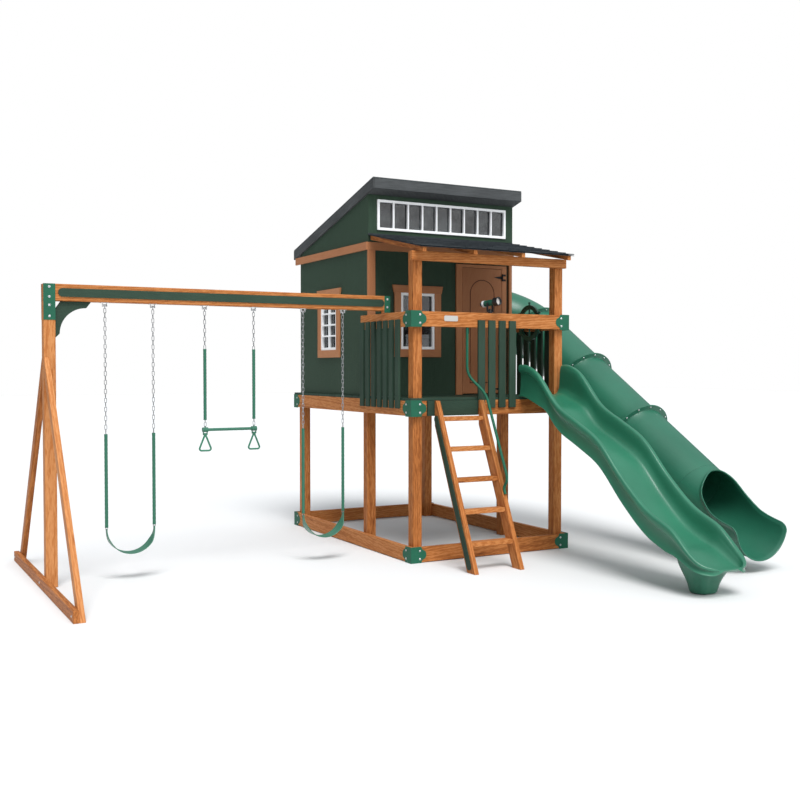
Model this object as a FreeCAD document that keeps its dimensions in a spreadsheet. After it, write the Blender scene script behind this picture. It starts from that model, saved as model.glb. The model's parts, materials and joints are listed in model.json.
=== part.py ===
import FreeCAD
import Part
import Sketcher

import math
import os
import re

# Timber swing set: a clubhouse tower with a porch, two plastic slides and a swing beam.
#
# Millimetres, +Z up.  While it is being built, the corner of the tower's ground rails at the
# front left is the zero point: +X runs along the tower's front, +Y towards its back.  The last
# step moves every sub-part so that the zero point is on the ground, under the middle of the set.

DRIVING_SIZES = (
    # timber
    ("tower_wide", 1796, "outside width of the tower over its rails"),
    ("tower_deep", 2758, "outside depth of the tower over its rails"),
    ("post_size", 95, "square section of posts and swing beam"),
    ("rail_thick", 45, "thickness of rails"),
    ("rail_tall", 140, "height of rails"),
    ("ground_rail_z", 6, "underside of the ground rails"),
    ("deck_top", 1524, "height of the deck, five feet"),
    ("board_thick", 25, "thickness of deck boards"),
    ("board_count", 20, "deck boards"),
    ("board_gap", 5, "gap between deck boards"),
    ("top_rail_z", 2185, "underside of the porch rails"),
    ("mid_post_y", 978, "front of the middle posts"),
    ("front_post_tall", 2885, "height of the front posts"),
    ("mid_post_tall", 2977, "height of the middle posts"),
    ("bracket_tall", 152, "height of the corner brackets"),
    ("plate_thick", 3, "sheet metal of the brackets"),
    ("bracket_shoulder", 108, "bracket leg up to its scalloped end"),
    ("bracket_reach", 160, "bracket leg over all"),
    ("bolt_inset", 92, "bracket bolts from the corner"),
    ("bolt_radius", 5, "bolt shank"),
    ("baluster_wide", 76, "width of a baluster"),
    ("baluster_thick", 22, "thickness of a baluster"),
    ("baluster_z", 1424, "foot of the balusters"),
    ("baluster_tall", 831, "length of a baluster"),
    ("header_tall", 87, "height of the porch header"),
    ("rail_end_y", 1043, "rear end of the side top rails"),
    # porch roof
    ("porch_roof_y", -125, "front edge of the porch roof"),
    ("porch_roof_z", 2912, "top of the porch roof at its front edge"),
    ("porch_roof_rise", 220, "rise of the porch roof up to the wall"),
    ("shingle_thick", 12, "thickness of the porch roofing"),
    ("rafter_size", 45, "height of a rafter"),
    ("rafter_wide", 40, "width of a rafter"),
    # cabin
    ("siding_thick", 10, "thickness of the siding panels"),
    ("wall_inset", 35, "cabin walls inside the rails' outer faces"),
    ("front_wall_y", 968, "outer face of the cabin's front wall"),
    ("clerestory_y", 935, "outer face of the clerestory wall"),
    ("rear_wall_y", 2645, "outer face of the cabin's rear wall"),
    ("band_z", 2977, "underside of the trim band"),
    ("band_tall", 78, "height of the trim band"),
    ("trim_thick", 22, "thickness of the trim boards"),
    ("roof_front_y", 793, "front edge of the cabin roof"),
    ("roof_rear_y", 2798, "rear edge of the cabin roof"),
    ("roof_front_z", 3683, "top of the cabin roof at its front edge"),
    ("roof_drop", 521, "drop of the cabin roof to its rear edge"),
    ("roof_left_x", 16, "left edge of the cabin roof"),
    ("roof_wide", 1763, "width of the cabin roof"),
    ("roof_deep", 119, "height of the roof's edge"),
    ("roof_deck_thick", 22, "thickness of the roof's top panel"),
    ("soffit_thick", 10, "thickness of the soffit panel"),
    ("window_wide", 395, "width of a window frame"),
    ("window_tall", 573, "height of a window frame"),
    ("window_z", 1994, "underside of the window frames"),
    ("window_bar", 28, "width of a window frame's bars"),
    ("frame_deep", 30, "depth of a window frame"),
    ("glass_thick", 4, "thickness of the panes"),
    ("clerestory_wide", 1535, "width of the clerestory window"),
    ("clerestory_tall", 303, "height of the clerestory window"),
    ("clerestory_z", 3177, "underside of the clerestory window"),
    ("pane_count", 9, "panes in the clerestory window"),
    ("door_left_x", 1146, "left edge of the door panel"),
    ("door_wide", 489, "width of the door panel"),
    ("door_z", 1536, "underside of the door panel"),
    ("door_tall", 1316, "height of the door panel"),
    ("door_thick", 35, "thickness of the door panel"),
    ("hinge_x", 1638, "door hinge line"),
    ("hinge_y", 937, "door hinge line"),
    # tube slide
    ("tube_radius", 287, "outside radius of the tube slide"),
    ("tube_wall", 6, "wall of the tube slide"),
    ("flange_radius", 340, "radius of the tube's flanges"),
    ("flange_thick", 16, "thickness of a pair of flanges"),
    ("tube_x", 2480, "centre line of the tube's straight run"),
    ("tube_drop", 0.61, "fall of the tube for each unit forwards"),
    ("tube_zero_z", 1305, "height of the tube's centre line over the tower's front"),
    ("tube_bend", 500, "bend radius of the tube's elbow"),
    ("exit_bend", 1590, "bend radius of the tube's exit"),
    ("exit_turn", 30.4, "turn of the tube's exit, in degrees"),
    ("exit_flare", 24, "growth of the exit's radius to its end"),
    # wave slide
    ("slide_x", 1465, "middle of the wave slide"),
    ("slide_wide", 560, "width of the wave slide"),
    ("slide_rim", 34, "width of the wave slide's rims"),
    ("slide_skirt", 225, "depth of the wave slide's sides"),
    ("slide_depth", 190, "depth of the wave slide's bed below its rims"),
    # ladder
    ("ladder_left_x", 235, "outside of the left stringer"),
    ("ladder_wide", 527, "width of the ladder over its stringers"),
    ("ladder_foot_y", -717, "front of the stringers on the ground"),
    ("ladder_head_y", -50, "front of the stringers at the deck"),
    ("stringer_deep", 130, "stringer along the ground"),
    ("tread_first_z", 260, "top of the lowest tread"),
    ("tread_rise", 273, "rise from tread to tread"),
    ("tread_count", 5, "treads"),
    ("tread_thick", 40, "thickness of a tread"),
    ("handrail_radius", 13, "handrail tube"),
    # swing beam
    ("beam_left_x", -3137, "left end of the swing beam"),
    ("beam_long", 3185, "length of the swing beam"),
    ("beam_y", 548, "middle of the swing beam"),
    ("beam_z", 2349, "underside of the swing beam"),
    ("beam_tall", 140, "height of the swing beam"),
    ("frame_foot_y", 1377, "reach of the A-frame's braces from the beam's middle"),
    ("frame_apex_z", 1890, "top of the A-frame's braces at the post"),
    ("brace_deep", 109, "brace along the ground"),
    # swings
    ("pivot_z", 2325, "swing pivots"),
    ("link_inner", 38, "inside length of a chain link"),
    ("link_step", 37.6, "pitch of the chain"),
    ("link_wire", 5.5, "wire of a chain link"),
    ("link_half", 9.25, "middle of a link's wire from the link's middle"),
    ("sleeve_radius", 14.5, "grip sleeve on the chain"),
    ("sleeve_bore", 12.6, "pocket in the end of a sleeve"),
    ("belt_width", 140, "width of a belt seat"),
    ("belt_thick", 8, "thickness of a belt seat"),
    ("bar_radius", 13, "trapeze bar"),
    ("fit_gap", 0.05, "radial clearance on a pivot pin"),
)

doc = FreeCAD.newDocument("swing_set")
sheet = doc.addObject("Spreadsheet::Sheet", "Sizes")
for line, (alias, amount, meaning) in enumerate(DRIVING_SIZES, start=1):
    sheet.set(f"A{line}", meaning)
    sheet.set(f"B{line}", str(amount))
    sheet.setAlias(f"B{line}", alias)
doc.recompute()

V = FreeCAD.Vector
X_AXIS = V(1, 0, 0)
Y_AXIS = V(0, 1, 0)
Z_AXIS = V(0, 0, 1)
sub_parts = []


# ---------------------------------------------------------------- helpers


def size(alias):
    """A driving size as a plain number."""
    return float(sheet.get(alias))


def bind(obj, **formulas):
    """Bind properties to sheet formulas; a plain number is set as it is."""
    for prop, formula in formulas.items():
        if isinstance(formula, str):
            linked = re.sub(r"[a-z]+(?:_[a-z]+)+", lambda m: "Sizes." + m.group(0), formula)
            obj.setExpression(prop, linked)
        else:
            setattr(obj, prop, formula)


def put(obj, at, turn=None):
    obj.Placement = FreeCAD.Placement(V(*at), turn or FreeCAD.Rotation())
    return obj


def box(at, length, width, height, turn=None):
    """Part::Box whose sizes are sheet formulas or numbers."""
    obj = doc.addObject("Part::Box", "box")
    bind(obj, Length=length, Width=width, Height=height)
    return put(obj, at, turn)


def along(direction):
    """Rotation that takes +Z to a direction."""
    return FreeCAD.Rotation(Z_AXIS, V(*direction))


def cylinder(at, radius, height, direction=(0, 0, 1)):
    obj = doc.addObject("Part::Cylinder", "cylinder")
    bind(obj, Radius=radius, Height=height)
    return put(obj, at, along(direction))


def fuse(*members):
    obj = doc.addObject("Part::MultiFuse", "fused")
    obj.Shapes = list(members)
    return obj


def cut(base, *tools):
    tool = tools[0]
    if len(tools) > 1:
        tool = group(*tools)
    obj = doc.addObject("Part::Cut", "cut")
    obj.Base = base
    obj.Tool = tool
    return obj


def group(*members):
    """Separate solids kept together as one object."""
    obj = doc.addObject("Part::Compound", "group")
    obj.Links = list(members)
    return obj


def shaped(shape, at=(0, 0, 0), turn=None):
    """Part::Feature for a shape made with Part's own functions."""
    obj = doc.addObject("Part::Feature", "shaped")
    obj.Shape = shape
    return put(obj, at, turn)


def sub_part(label, obj):
    """Name a finished object as one sub-part of the set."""
    obj.Label = label
    sub_parts.append(obj)
    return obj


def outline_body(plane, corners, depth, at=(0, 0, 0)):
    """PartDesign body: an outline with straight sides, padded from one of its origin planes.

    XZ_Plane: corners are (x, z) and the pad runs towards -Y; YZ_Plane: (y, z), towards +X.
    """
    body = doc.addObject("PartDesign::Body", "body")
    sketch = body.newObject("Sketcher::SketchObject", "outline")
    support = [f for f in body.Origin.OriginFeatures if f.Role == plane][0]
    sketch.AttachmentSupport = [(support, "")]
    sketch.MapMode = "FlatFace"
    points = [V(u, v, 0) for u, v in corners]
    for start, end in zip(points, points[1:] + points[:1]):
        sketch.addGeometry(Part.LineSegment(start, end), False)
    for i, point in enumerate(points):
        before = (i - 1) % len(points)
        sketch.addConstraint(Sketcher.Constraint("Coincident", before, 2, i, 1))
        sketch.addConstraint(Sketcher.Constraint("DistanceX", -1, 1, i, 1, point.x))
        sketch.addConstraint(Sketcher.Constraint("DistanceY", -1, 1, i, 1, point.y))
    pad = body.newObject("PartDesign::Pad", "pad")
    pad.Profile = sketch
    bind(pad, Length=depth)
    body.Tip = pad
    return put(body, at)


def bent_tube(points, radius, bend):
    """Round bar along straight runs joined by tangent arcs."""
    stops = [V(*p) for p in points]
    edges = []
    last = stops[0]
    for before, corner, after in zip(stops, stops[1:], stops[2:]):
        back = (before - corner).normalize()
        ahead = (after - corner).normalize()
        half = back.getAngle(ahead) / 2
        trim = bend / math.tan(half)
        enter = corner + back * trim
        leave = corner + ahead * trim
        inward = (back + ahead).normalize()
        middle = corner + inward * (bend / math.sin(half) - bend)
        edges.append(Part.LineSegment(last, enter).toShape())
        edges.append(Part.Arc(enter, middle, leave).toShape())
        last = leave
    edges.append(Part.LineSegment(last, stops[-1]).toShape())
    path = Part.Wire(edges)
    ring = Part.Wire(Part.makeCircle(radius, stops[0], stops[1] - stops[0]))
    return path.makePipeShell([ring], True, False)


def straight_boards(corners, length, width, height):
    """The same board at several corners."""
    return [box(at, length, width, height) for at in corners]


W = size("tower_wide")
D = size("tower_deep")
RAIL = size("rail_thick")
POST = size("post_size")
DECK = size("deck_top")


# ---------------------------------------------------------------- tower


def make_posts():
    right_x = W - RAIL - POST
    rear_y = D - RAIL - POST
    rows = (
        (RAIL, "front_post_tall"),
        (size("mid_post_y"), "mid_post_tall"),
        (rear_y, "deck_top - board_thick"),
    )
    posts = []
    for y, height in rows:
        for x in (RAIL, right_x):
            posts.append(box((x, y, 0), "post_size", "post_size", height))
    sub_part("tower_posts", group(*posts))


def rail_ring(z):
    """Four rails round the tower: front and rear run right across."""
    side = "tower_deep - 2 * rail_thick"
    across = straight_boards(((0, 0, z), (0, D - RAIL, z)), "tower_wide", "rail_thick", "rail_tall")
    sides = straight_boards(((0, RAIL, z), (W - RAIL, RAIL, z)), "rail_thick", side, "rail_tall")
    return across + sides


def make_rails():
    deck_z = DECK - size("board_thick") - size("rail_tall")
    sub_part("ground_rails", group(*rail_ring(size("ground_rail_z"))))
    joists = [
        box((W * k / 4 - 19, RAIL, deck_z), 38, "tower_deep - 2 * rail_thick", "rail_tall")
        for k in (1, 2, 3)
    ]
    sub_part("deck_frame", group(*rail_ring(deck_z), *joists))


def side_top_rails():
    """Top rails of the porch's sides; their rear ends run through the cabin's corners."""
    z = size("top_rail_z")
    corners = ((0, RAIL, z), (W - RAIL, RAIL, z))
    return straight_boards(corners, "rail_thick", "rail_end_y - rail_thick", "rail_tall")


def make_top_rails():
    z = size("top_rail_z")
    front = box((0, 0, z), "tower_wide", "rail_thick", "rail_tall")
    left, right = side_top_rails()
    packing_z = z + size("rail_tall")
    packing = box(
        (0, size("beam_y") - POST / 2, packing_z),
        "rail_thick",
        "post_size",
        "beam_z - top_rail_z - rail_tall",
    )
    sub_part("top_rails", group(front, left, right, packing))


def make_deck_boards():
    pitch = D / size("board_count")
    z = DECK - size("board_thick")
    boards = [
        box((0, k * pitch, z), "tower_wide", "tower_deep / board_count - board_gap", "board_thick")
        for k in range(int(size("board_count")))
    ]
    notches = []
    for x in (RAIL, W - RAIL - POST):
        for y in (RAIL, size("mid_post_y")):
            notches.append(box((x - 1, y - 1, z - 5), "post_size + 2", "post_size + 2", 50))
    trimmed = [cut(board, *notches) if k in (0, 1, 7) else board for k, board in enumerate(boards)]
    sub_part("deck_boards", group(*trimmed))


def bracket_leg(thick):
    """One leg of a corner bracket: a plate in the XZ plane with a scalloped tip."""
    tall = size("bracket_tall")
    shoulder = size("bracket_shoulder")
    reach = size("bracket_reach")
    middle = tall / 2
    waist = shoulder + 24

    def scallop(sign):
        edge_z = middle - sign * middle
        bite = Part.Arc(
            V(shoulder, 0, edge_z), V(shoulder + 6, 0, edge_z + sign * 20), V(waist, 0, edge_z + sign * 34)
        )
        nose = Part.Arc(
            V(waist, 0, edge_z + sign * 34), V(reach - 7, 0, edge_z + sign * 50), V(reach, 0, middle)
        )
        return [bite.toShape(), nose.toShape()]

    low = scallop(1)
    high = scallop(-1)
    straight = [
        Part.LineSegment(V(-thick, 0, 0), V(shoulder, 0, 0)).toShape(),
        Part.LineSegment(V(shoulder, 0, tall), V(-thick, 0, tall)).toShape(),
        Part.LineSegment(V(-thick, 0, tall), V(-thick, 0, 0)).toShape(),
    ]
    outline = Part.Wire(Part.__sortEdges__(low + high + straight))
    return Part.Face(outline).extrude(V(0, -thick, 0))


def bracket_shape():
    """L-shaped bracket round the corner at the zero point, legs along +X and +Y."""
    thick = size("plate_thick")
    front = bracket_leg(thick)
    side = front.mirror(V(0, 0, 0), V(1, -1, 0))
    plate = front.fuse(side)
    for z in bolt_levels():
        hole_x = Part.makeCylinder(size("bolt_radius") + 0.5, 40, V(size("bolt_inset"), 20, z), V(0, -1, 0))
        hole_y = Part.makeCylinder(size("bolt_radius") + 0.5, 40, V(20, size("bolt_inset"), z), V(-1, 0, 0))
        plate = plate.cut(hole_x).cut(hole_y)
    return plate.removeSplitter()


def bolt_levels():
    return (38, size("bracket_tall") - 38)


def bolt_shape(shank):
    """Bolt pointing down -Z: washer, domed head above, plain shank below the washer."""
    washer = Part.makeCylinder(10, 1.5)
    head = Part.makeCone(8, 4.5, 4, V(0, 0, 1.5))
    bolt = washer.fuse(head)
    if shank:
        bolt = bolt.fuse(Part.makeCylinder(size("bolt_radius"), shank, V(0, 0, -shank)))
    return bolt.removeSplitter()


def bracket_corners():
    """Corner, turn about Z and underside of every corner bracket."""
    ring = (((0, 0), 0), ((W, 0), 90), ((W, D), 180), ((0, D), 270))
    deck_z = DECK - size("board_thick") - size("rail_tall") - 6
    corners = [(xy, turn, z) for z in (0, deck_z) for xy, turn in ring]
    top_z = size("top_rail_z") - 6
    corners += [(xy, turn, top_z) for xy, turn in ring[:2]]
    return corners


def make_brackets_and_bolts():
    thick = size("plate_thick")
    plate = bracket_shape()
    bolt = bolt_shape(thick)
    brackets = []
    bolts = []
    for (x, y), turn, z in bracket_corners():
        spin = FreeCAD.Rotation(Z_AXIS, turn)
        base = V(x, y, z)
        brackets.append(shaped(plate.copy(), base, spin))
        for level in bolt_levels():
            on_front = V(size("bolt_inset"), -thick, level)
            on_side = V(-thick, size("bolt_inset"), level)
            for spot, outward in ((on_front, V(0, -1, 0)), (on_side, V(-1, 0, 0))):
                facing = spin.multiply(FreeCAD.Rotation(Z_AXIS, outward))
                bolts.append(shaped(bolt.copy(), base + spin.multVec(spot), facing))
    brackets += beam_plates()
    bolts += frame_bolts()
    sub_part("metal_brackets", group(*brackets))
    sub_part("bolts", group(*bolts))


def make_balusters():
    front_pitch = 118
    side_pitch = 123
    thick = size("baluster_thick")
    z = size("baluster_z")
    front = [(717 + k * front_pitch, -thick, z) for k in range(4)]
    front_bars = straight_boards(front, "baluster_wide", "baluster_thick", "baluster_tall")
    sides = [(x, 206 + k * side_pitch, z) for x in (-thick, W) for k in range(7)]
    side_bars = straight_boards(sides, "baluster_thick", "baluster_wide", "baluster_tall")
    sub_part("balusters", group(*front_bars, *side_bars))


# ---------------------------------------------------------------- porch roof


def porch_slope():
    return size("porch_roof_rise") / (size("clerestory_y") - size("porch_roof_y"))


def porch_top(y):
    """Height of the porch roof's top at a depth."""
    return size("porch_roof_z") + porch_slope() * (y - size("porch_roof_y"))


def sloped_strip(y_front, y_rear, top, thick, depth, x):
    """Board that follows a roof slope; top is a function of y."""
    corners = (
        (y_front, top(y_front) - thick),
        (y_rear, top(y_rear) - thick),
        (y_rear, top(y_rear)),
        (y_front, top(y_front)),
    )
    return outline_body("YZ_Plane", corners, depth, (x, 0, 0))


def make_porch():
    header = box((7, 0, 2790), "tower_wide - 38", "rail_thick", "header_tall")
    sub_part("header_beam", header)
    shingle = size("shingle_thick")
    wall = size("clerestory_y")
    rafter = size("rafter_size")

    def rafter_top(y):
        return porch_top(y) - shingle

    rafters = []
    for centre in (78, 628, 1168, 1714):
        x = centre - size("rafter_wide") / 2
        rafters.append(sloped_strip(-112, wall, rafter_top, rafter, "rafter_wide", x))
    sub_part("porch_rafters", group(*rafters))
    roof = sloped_strip(size("porch_roof_y"), wall, porch_top, shingle, "tower_wide - 62", 29)
    sub_part("porch_roof", roof)


# ---------------------------------------------------------------- cabin


def roof_top(y):
    """Height of the cabin roof's top at a depth."""
    slope = size("roof_drop") / (size("roof_rear_y") - size("roof_front_y"))
    return size("roof_front_z") - slope * (y - size("roof_front_y"))


def roof_under(y):
    return roof_top(y) - size("roof_deep")


def side_wall(x):
    band_top = size("band_z") + size("band_tall")
    front = size("front_wall_y")
    upper = size("clerestory_y")
    rear = size("rear_wall_y")
    corners = (
        (front, DECK),
        (rear, DECK),
        (rear, roof_under(rear)),
        (upper, roof_under(upper)),
        (upper, band_top),
        (front, band_top),
    )
    return outline_body("YZ_Plane", corners, "siding_thick", (x, 0, 0))


WINDOW_FRONT_X = 413
WINDOW_SIDE_Y = 1659


def make_walls():
    inset = size("wall_inset")
    siding = size("siding_thick")
    window_z = size("window_z")
    left_x = inset
    right_x = W - inset - siding
    front = size("front_wall_y")
    left_rail, right_rail = side_top_rails()
    side_hole = box((left_x - 5, WINDOW_SIDE_Y, window_z), 20, "window_wide", "window_tall")
    sub_part("cabin_left_wall", cut(side_wall(left_x), left_rail, side_hole))
    entry = tube_elbow_start()
    tube_hole = cylinder((right_x - 5, entry.y, entry.z), "tube_radius + 2", 20, (1, 0, 0))
    sub_part("cabin_right_wall", cut(side_wall(right_x), right_rail, tube_hole))

    inner_wide = "tower_wide - 2 * wall_inset - 2 * siding_thick"
    sheet_front = box(
        (left_x + siding, front, DECK), inner_wide, "siding_thick", "band_z + band_tall - deck_top"
    )
    window_hole = box((WINDOW_FRONT_X, front - 5, window_z), "window_wide", 20, "window_tall")
    door_hole = box(
        (size("door_left_x") - 6, front - 5, DECK - 1), "door_wide + 12", 20, "door_tall + 20"
    )
    sub_part("cabin_front_wall", cut(sheet_front, window_hole, door_hole))

    rear = size("rear_wall_y") - siding
    rear_tall = roof_under(size("rear_wall_y")) - DECK
    sub_part("cabin_rear_wall", box((left_x + siding, rear, DECK), inner_wide, "siding_thick", rear_tall))

    upper = size("clerestory_y")
    band_top = size("band_z") + size("band_tall")
    clerestory = box(
        (left_x + siding, upper, band_top),
        inner_wide,
        "siding_thick",
        roof_under(upper + siding) - band_top,
    )
    clerestory_hole = box(
        (clerestory_x(), upper - 5, size("clerestory_z")), "clerestory_wide", 20, "clerestory_tall"
    )
    sub_part("clerestory_wall", cut(clerestory, clerestory_hole))


def clerestory_x():
    return (W - size("clerestory_wide")) / 2


def make_framing():
    """Studs in the rear corners and the raised platform that the tube slide starts from."""
    inside = size("wall_inset") + size("siding_thick")
    stud = 38
    rear = size("rear_wall_y") - size("siding_thick") - stud
    stud_tall = roof_under(size("rear_wall_y")) - DECK
    studs = straight_boards(((inside, rear, DECK), (W - inside - stud, rear, DECK)), stud, stud, stud_tall)
    platform_top = tube_elbow_start().z - size("tube_radius") - 8
    platform_x = 900
    platform_y = 1520
    reach_x = W - inside - platform_x
    reach_y = rear - platform_y
    panel = box((platform_x, platform_y, platform_top - 20), reach_x, reach_y, 20)
    bearers = straight_boards(
        ((platform_x, platform_y, platform_top - 109), (platform_x, rear - stud, platform_top - 109)),
        reach_x,
        stud,
        89,
    )
    leg = box((platform_x, platform_y, DECK), stud, stud, platform_top - 109 - DECK)
    step = box((1250, platform_y - 320, DECK), 360, 320, 300)
    sub_part("cabin_framing", group(*studs, panel, *bearers, leg, step))


def make_roof():
    deck_thick = size("roof_deck_thick")
    edge = 18
    left = size("roof_left_x")
    front = size("roof_front_y")
    rear = size("roof_rear_y")
    between = "roof_wide - 36"
    panel = sloped_strip(front, rear, roof_top, deck_thick, "roof_wide", left)
    sub_part("cabin_roof", panel)

    def below_deck(y):
        return roof_top(y) - deck_thick

    board_tall = size("roof_deep") - deck_thick
    rakes = [
        sloped_strip(front, rear, below_deck, board_tall, edge, x)
        for x in (left, left + size("roof_wide") - edge)
    ]
    ends = [
        sloped_strip(y, y + edge, below_deck, board_tall, between, left + edge)
        for y in (front, rear - edge)
    ]

    def soffit_top(y):
        return roof_under(y) + size("soffit_thick")

    soffit = sloped_strip(front + edge, rear - edge, soffit_top, size("soffit_thick"), between, left + edge)
    sub_part("roof_fascia", group(*rakes, *ends, soffit))


def make_cabin_trim():
    """Trim band on three sides, and the boards at the cabin's front corners."""
    inset = size("wall_inset")
    thick = size("trim_thick")
    band_z = size("band_z")
    front = size("clerestory_y")
    rear_end = 2745
    sides = straight_boards(
        ((inset - thick, front, band_z), (W - inset, front, band_z)),
        "trim_thick",
        rear_end - front,
        "band_tall",
    )
    ledger_deep = size("front_wall_y") - front
    ledger = box((inset, front, band_z), "tower_wide - 2 * wall_inset", ledger_deep, "band_tall")
    corner_thick = 30
    left_wide = 80
    right_wide = 36
    corner_y = size("front_wall_y") - corner_thick
    left_board = box((inset, corner_y, DECK), left_wide, corner_thick, "band_z - deck_top")
    right_x = W - inset - right_wide
    right_board = box((right_x, corner_y, DECK), right_wide, corner_thick, "band_z - deck_top")
    left_rail, right_rail = side_top_rails()
    corners = (cut(left_board, left_rail), cut(right_board, right_rail))
    sub_part("cabin_trim", group(*sides, ledger, *corners))


def window_head(plane, start, at_depth):
    """Head board with flared ends, over a window that starts at a given place."""
    wide = size("window_wide")
    low = size("window_z") + size("window_tall")
    corners = (
        (start - 83, low),
        (start + wide + 83, low),
        (start + wide + 98, low + 76),
        (start - 98, low + 76),
    )
    return outline_body(plane, corners, "trim_thick", at_depth)


def make_window_trims():
    thick = size("trim_thick")
    side = 75
    low = size("window_z") - 79
    front = size("front_wall_y") - thick
    left = WINDOW_FRONT_X - side
    right = WINDOW_FRONT_X + size("window_wide")
    jamb_tall = "window_tall"
    z = size("window_z")
    boards = straight_boards(((left, front, z), (right, front, z)), side, "trim_thick", jamb_tall)
    boards.append(box((left, front, low), "window_wide + 150", "trim_thick", 79))
    boards.append(window_head("XZ_Plane", WINDOW_FRONT_X, (0, front + thick, 0)))
    x = size("wall_inset") - thick
    left = WINDOW_SIDE_Y - side
    right = WINDOW_SIDE_Y + size("window_wide")
    boards += straight_boards(((x, left, z), (x, right, z)), "trim_thick", side, jamb_tall)
    boards.append(box((x, left, low), "trim_thick", "window_wide + 150", 79))
    boards.append(window_head("YZ_Plane", WINDOW_SIDE_Y, (x, 0, 0)))
    sub_part("window_trims", group(*boards))


def sash_holes(across_bars, upright_bars, wide, tall, border, bar):
    """Openings between a frame's bars: (offset across, offset up, width, height)."""
    columns = upright_bars + 1
    pane_wide = (wide - 2 * border - upright_bars * bar) / columns
    edges = [border] + [tall * share for share in across_bars] + [tall - border]
    holes = []
    for low, high in zip(edges, edges[1:]):
        below = 0 if low == border else bar / 2
        above = 0 if high == tall - border else bar / 2
        for column in range(columns):
            across = border + column * (pane_wide + bar)
            holes.append((across, low + below, pane_wide, high - above - low - below))
    return holes


def window_frame(at, across_bars, upright_bars, facing):
    """White frame with its bars cut from one board; facing names the wall: front or left."""
    wide = size("window_wide")
    tall = size("window_tall")
    border = size("window_bar")
    x, y, z = at
    holes = []
    for across, up, pane_wide, pane_tall in sash_holes(across_bars, upright_bars, wide, tall, border, 16):
        if facing == "front":
            holes.append(box((x + across, y - 5, z + up), pane_wide, 60, pane_tall))
        else:
            holes.append(box((x - 5, y + across, z + up), 60, pane_wide, pane_tall))
    if facing == "front":
        blank = box(at, "window_wide", "frame_deep", "window_tall")
    else:
        blank = box(at, "frame_deep", "window_wide", "window_tall")
    return cut(blank, *holes)


def make_windows():
    z = size("window_z")
    setback = 14
    deep = size("frame_deep")
    front = size("front_wall_y") - setback
    side = size("wall_inset") - setback
    front_frame = window_frame((WINDOW_FRONT_X, front, z), (0.46,), 0, "front")
    left_frame = window_frame((side, WINDOW_SIDE_Y, z), (0.265, 0.47, 0.68), 1, "left")

    upper_x = clerestory_x()
    upper_y = size("clerestory_y") - setback
    upper_z = size("clerestory_z")
    holes = [
        box((upper_x + across, upper_y - 5, upper_z + up), pane_wide, 60, pane_tall)
        for across, up, pane_wide, pane_tall in sash_holes(
            (), int(size("pane_count")) - 1, size("clerestory_wide"), size("clerestory_tall"), 26, 16
        )
    ]
    upper_frame = cut(
        box((upper_x, upper_y, upper_z), "clerestory_wide", "frame_deep", "clerestory_tall"), *holes
    )
    sub_part("window_frames", group(front_frame, left_frame, upper_frame))

    edge = 12
    panes = (
        box(
            (WINDOW_FRONT_X + edge, front + deep, z + edge),
            "window_wide - 24",
            "glass_thick",
            "window_tall - 24",
        ),
        box(
            (side + deep, WINDOW_SIDE_Y + edge, z + edge),
            "glass_thick",
            "window_wide - 24",
            "window_tall - 24",
        ),
        box(
            (upper_x + edge, upper_y + deep, upper_z + edge),
            "clerestory_wide - 24",
            "glass_thick",
            "clerestory_tall - 24",
        ),
    )
    sub_part("window_glass", group(*panes))


# ---------------------------------------------------------------- door


HINGE_LEVELS = (1581, 2765)


def make_door():
    front = size("front_wall_y") - size("trim_thick")
    left = size("door_left_x")
    z = size("door_z")
    top = z + size("door_tall") + 4
    jamb_left = box((1067, front, DECK), left - 3 - 1067, "trim_thick", top - DECK)
    jamb_right = box((size("hinge_x"), front, DECK), 58, "trim_thick", top - DECK)
    head = box((1067, front, top), size("hinge_x") + 58 - 1067, "trim_thick", 33)
    sub_part("door_frame", group(jamb_left, jamb_right, head))
    make_door_panel(left, front + 2, z)
    make_door_hardware(left, front + 2)


def make_door_panel(left, front, z):
    """Moulded door with an arched groove and a lower panel groove."""
    slab = box((left, front, z), "door_wide", "door_thick", "door_tall")
    groove_left = 1234
    groove_right = 1542
    radius = (groove_right - groove_left) / 2
    low = 1644
    spring = 2734 - radius
    centre = V((groove_left + groove_right) / 2, front - 1, spring)

    def arch(inset):
        r = radius - inset
        a = V(centre.x - r, centre.y, low + inset)
        b = V(centre.x + r, centre.y, low + inset)
        c = V(centre.x + r, centre.y, spring)
        d = V(centre.x - r, centre.y, spring)
        edges = [
            Part.LineSegment(a, b).toShape(),
            Part.LineSegment(b, c).toShape(),
            Part.Arc(c, V(centre.x, centre.y, spring + r), d).toShape(),
            Part.LineSegment(d, a).toShape(),
        ]
        return Part.Face(Part.Wire(edges)).extrude(V(0, 6, 0))

    groove = shaped(arch(0).cut(arch(9)))
    sub_part("door_panel", cut(slab, groove))


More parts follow.
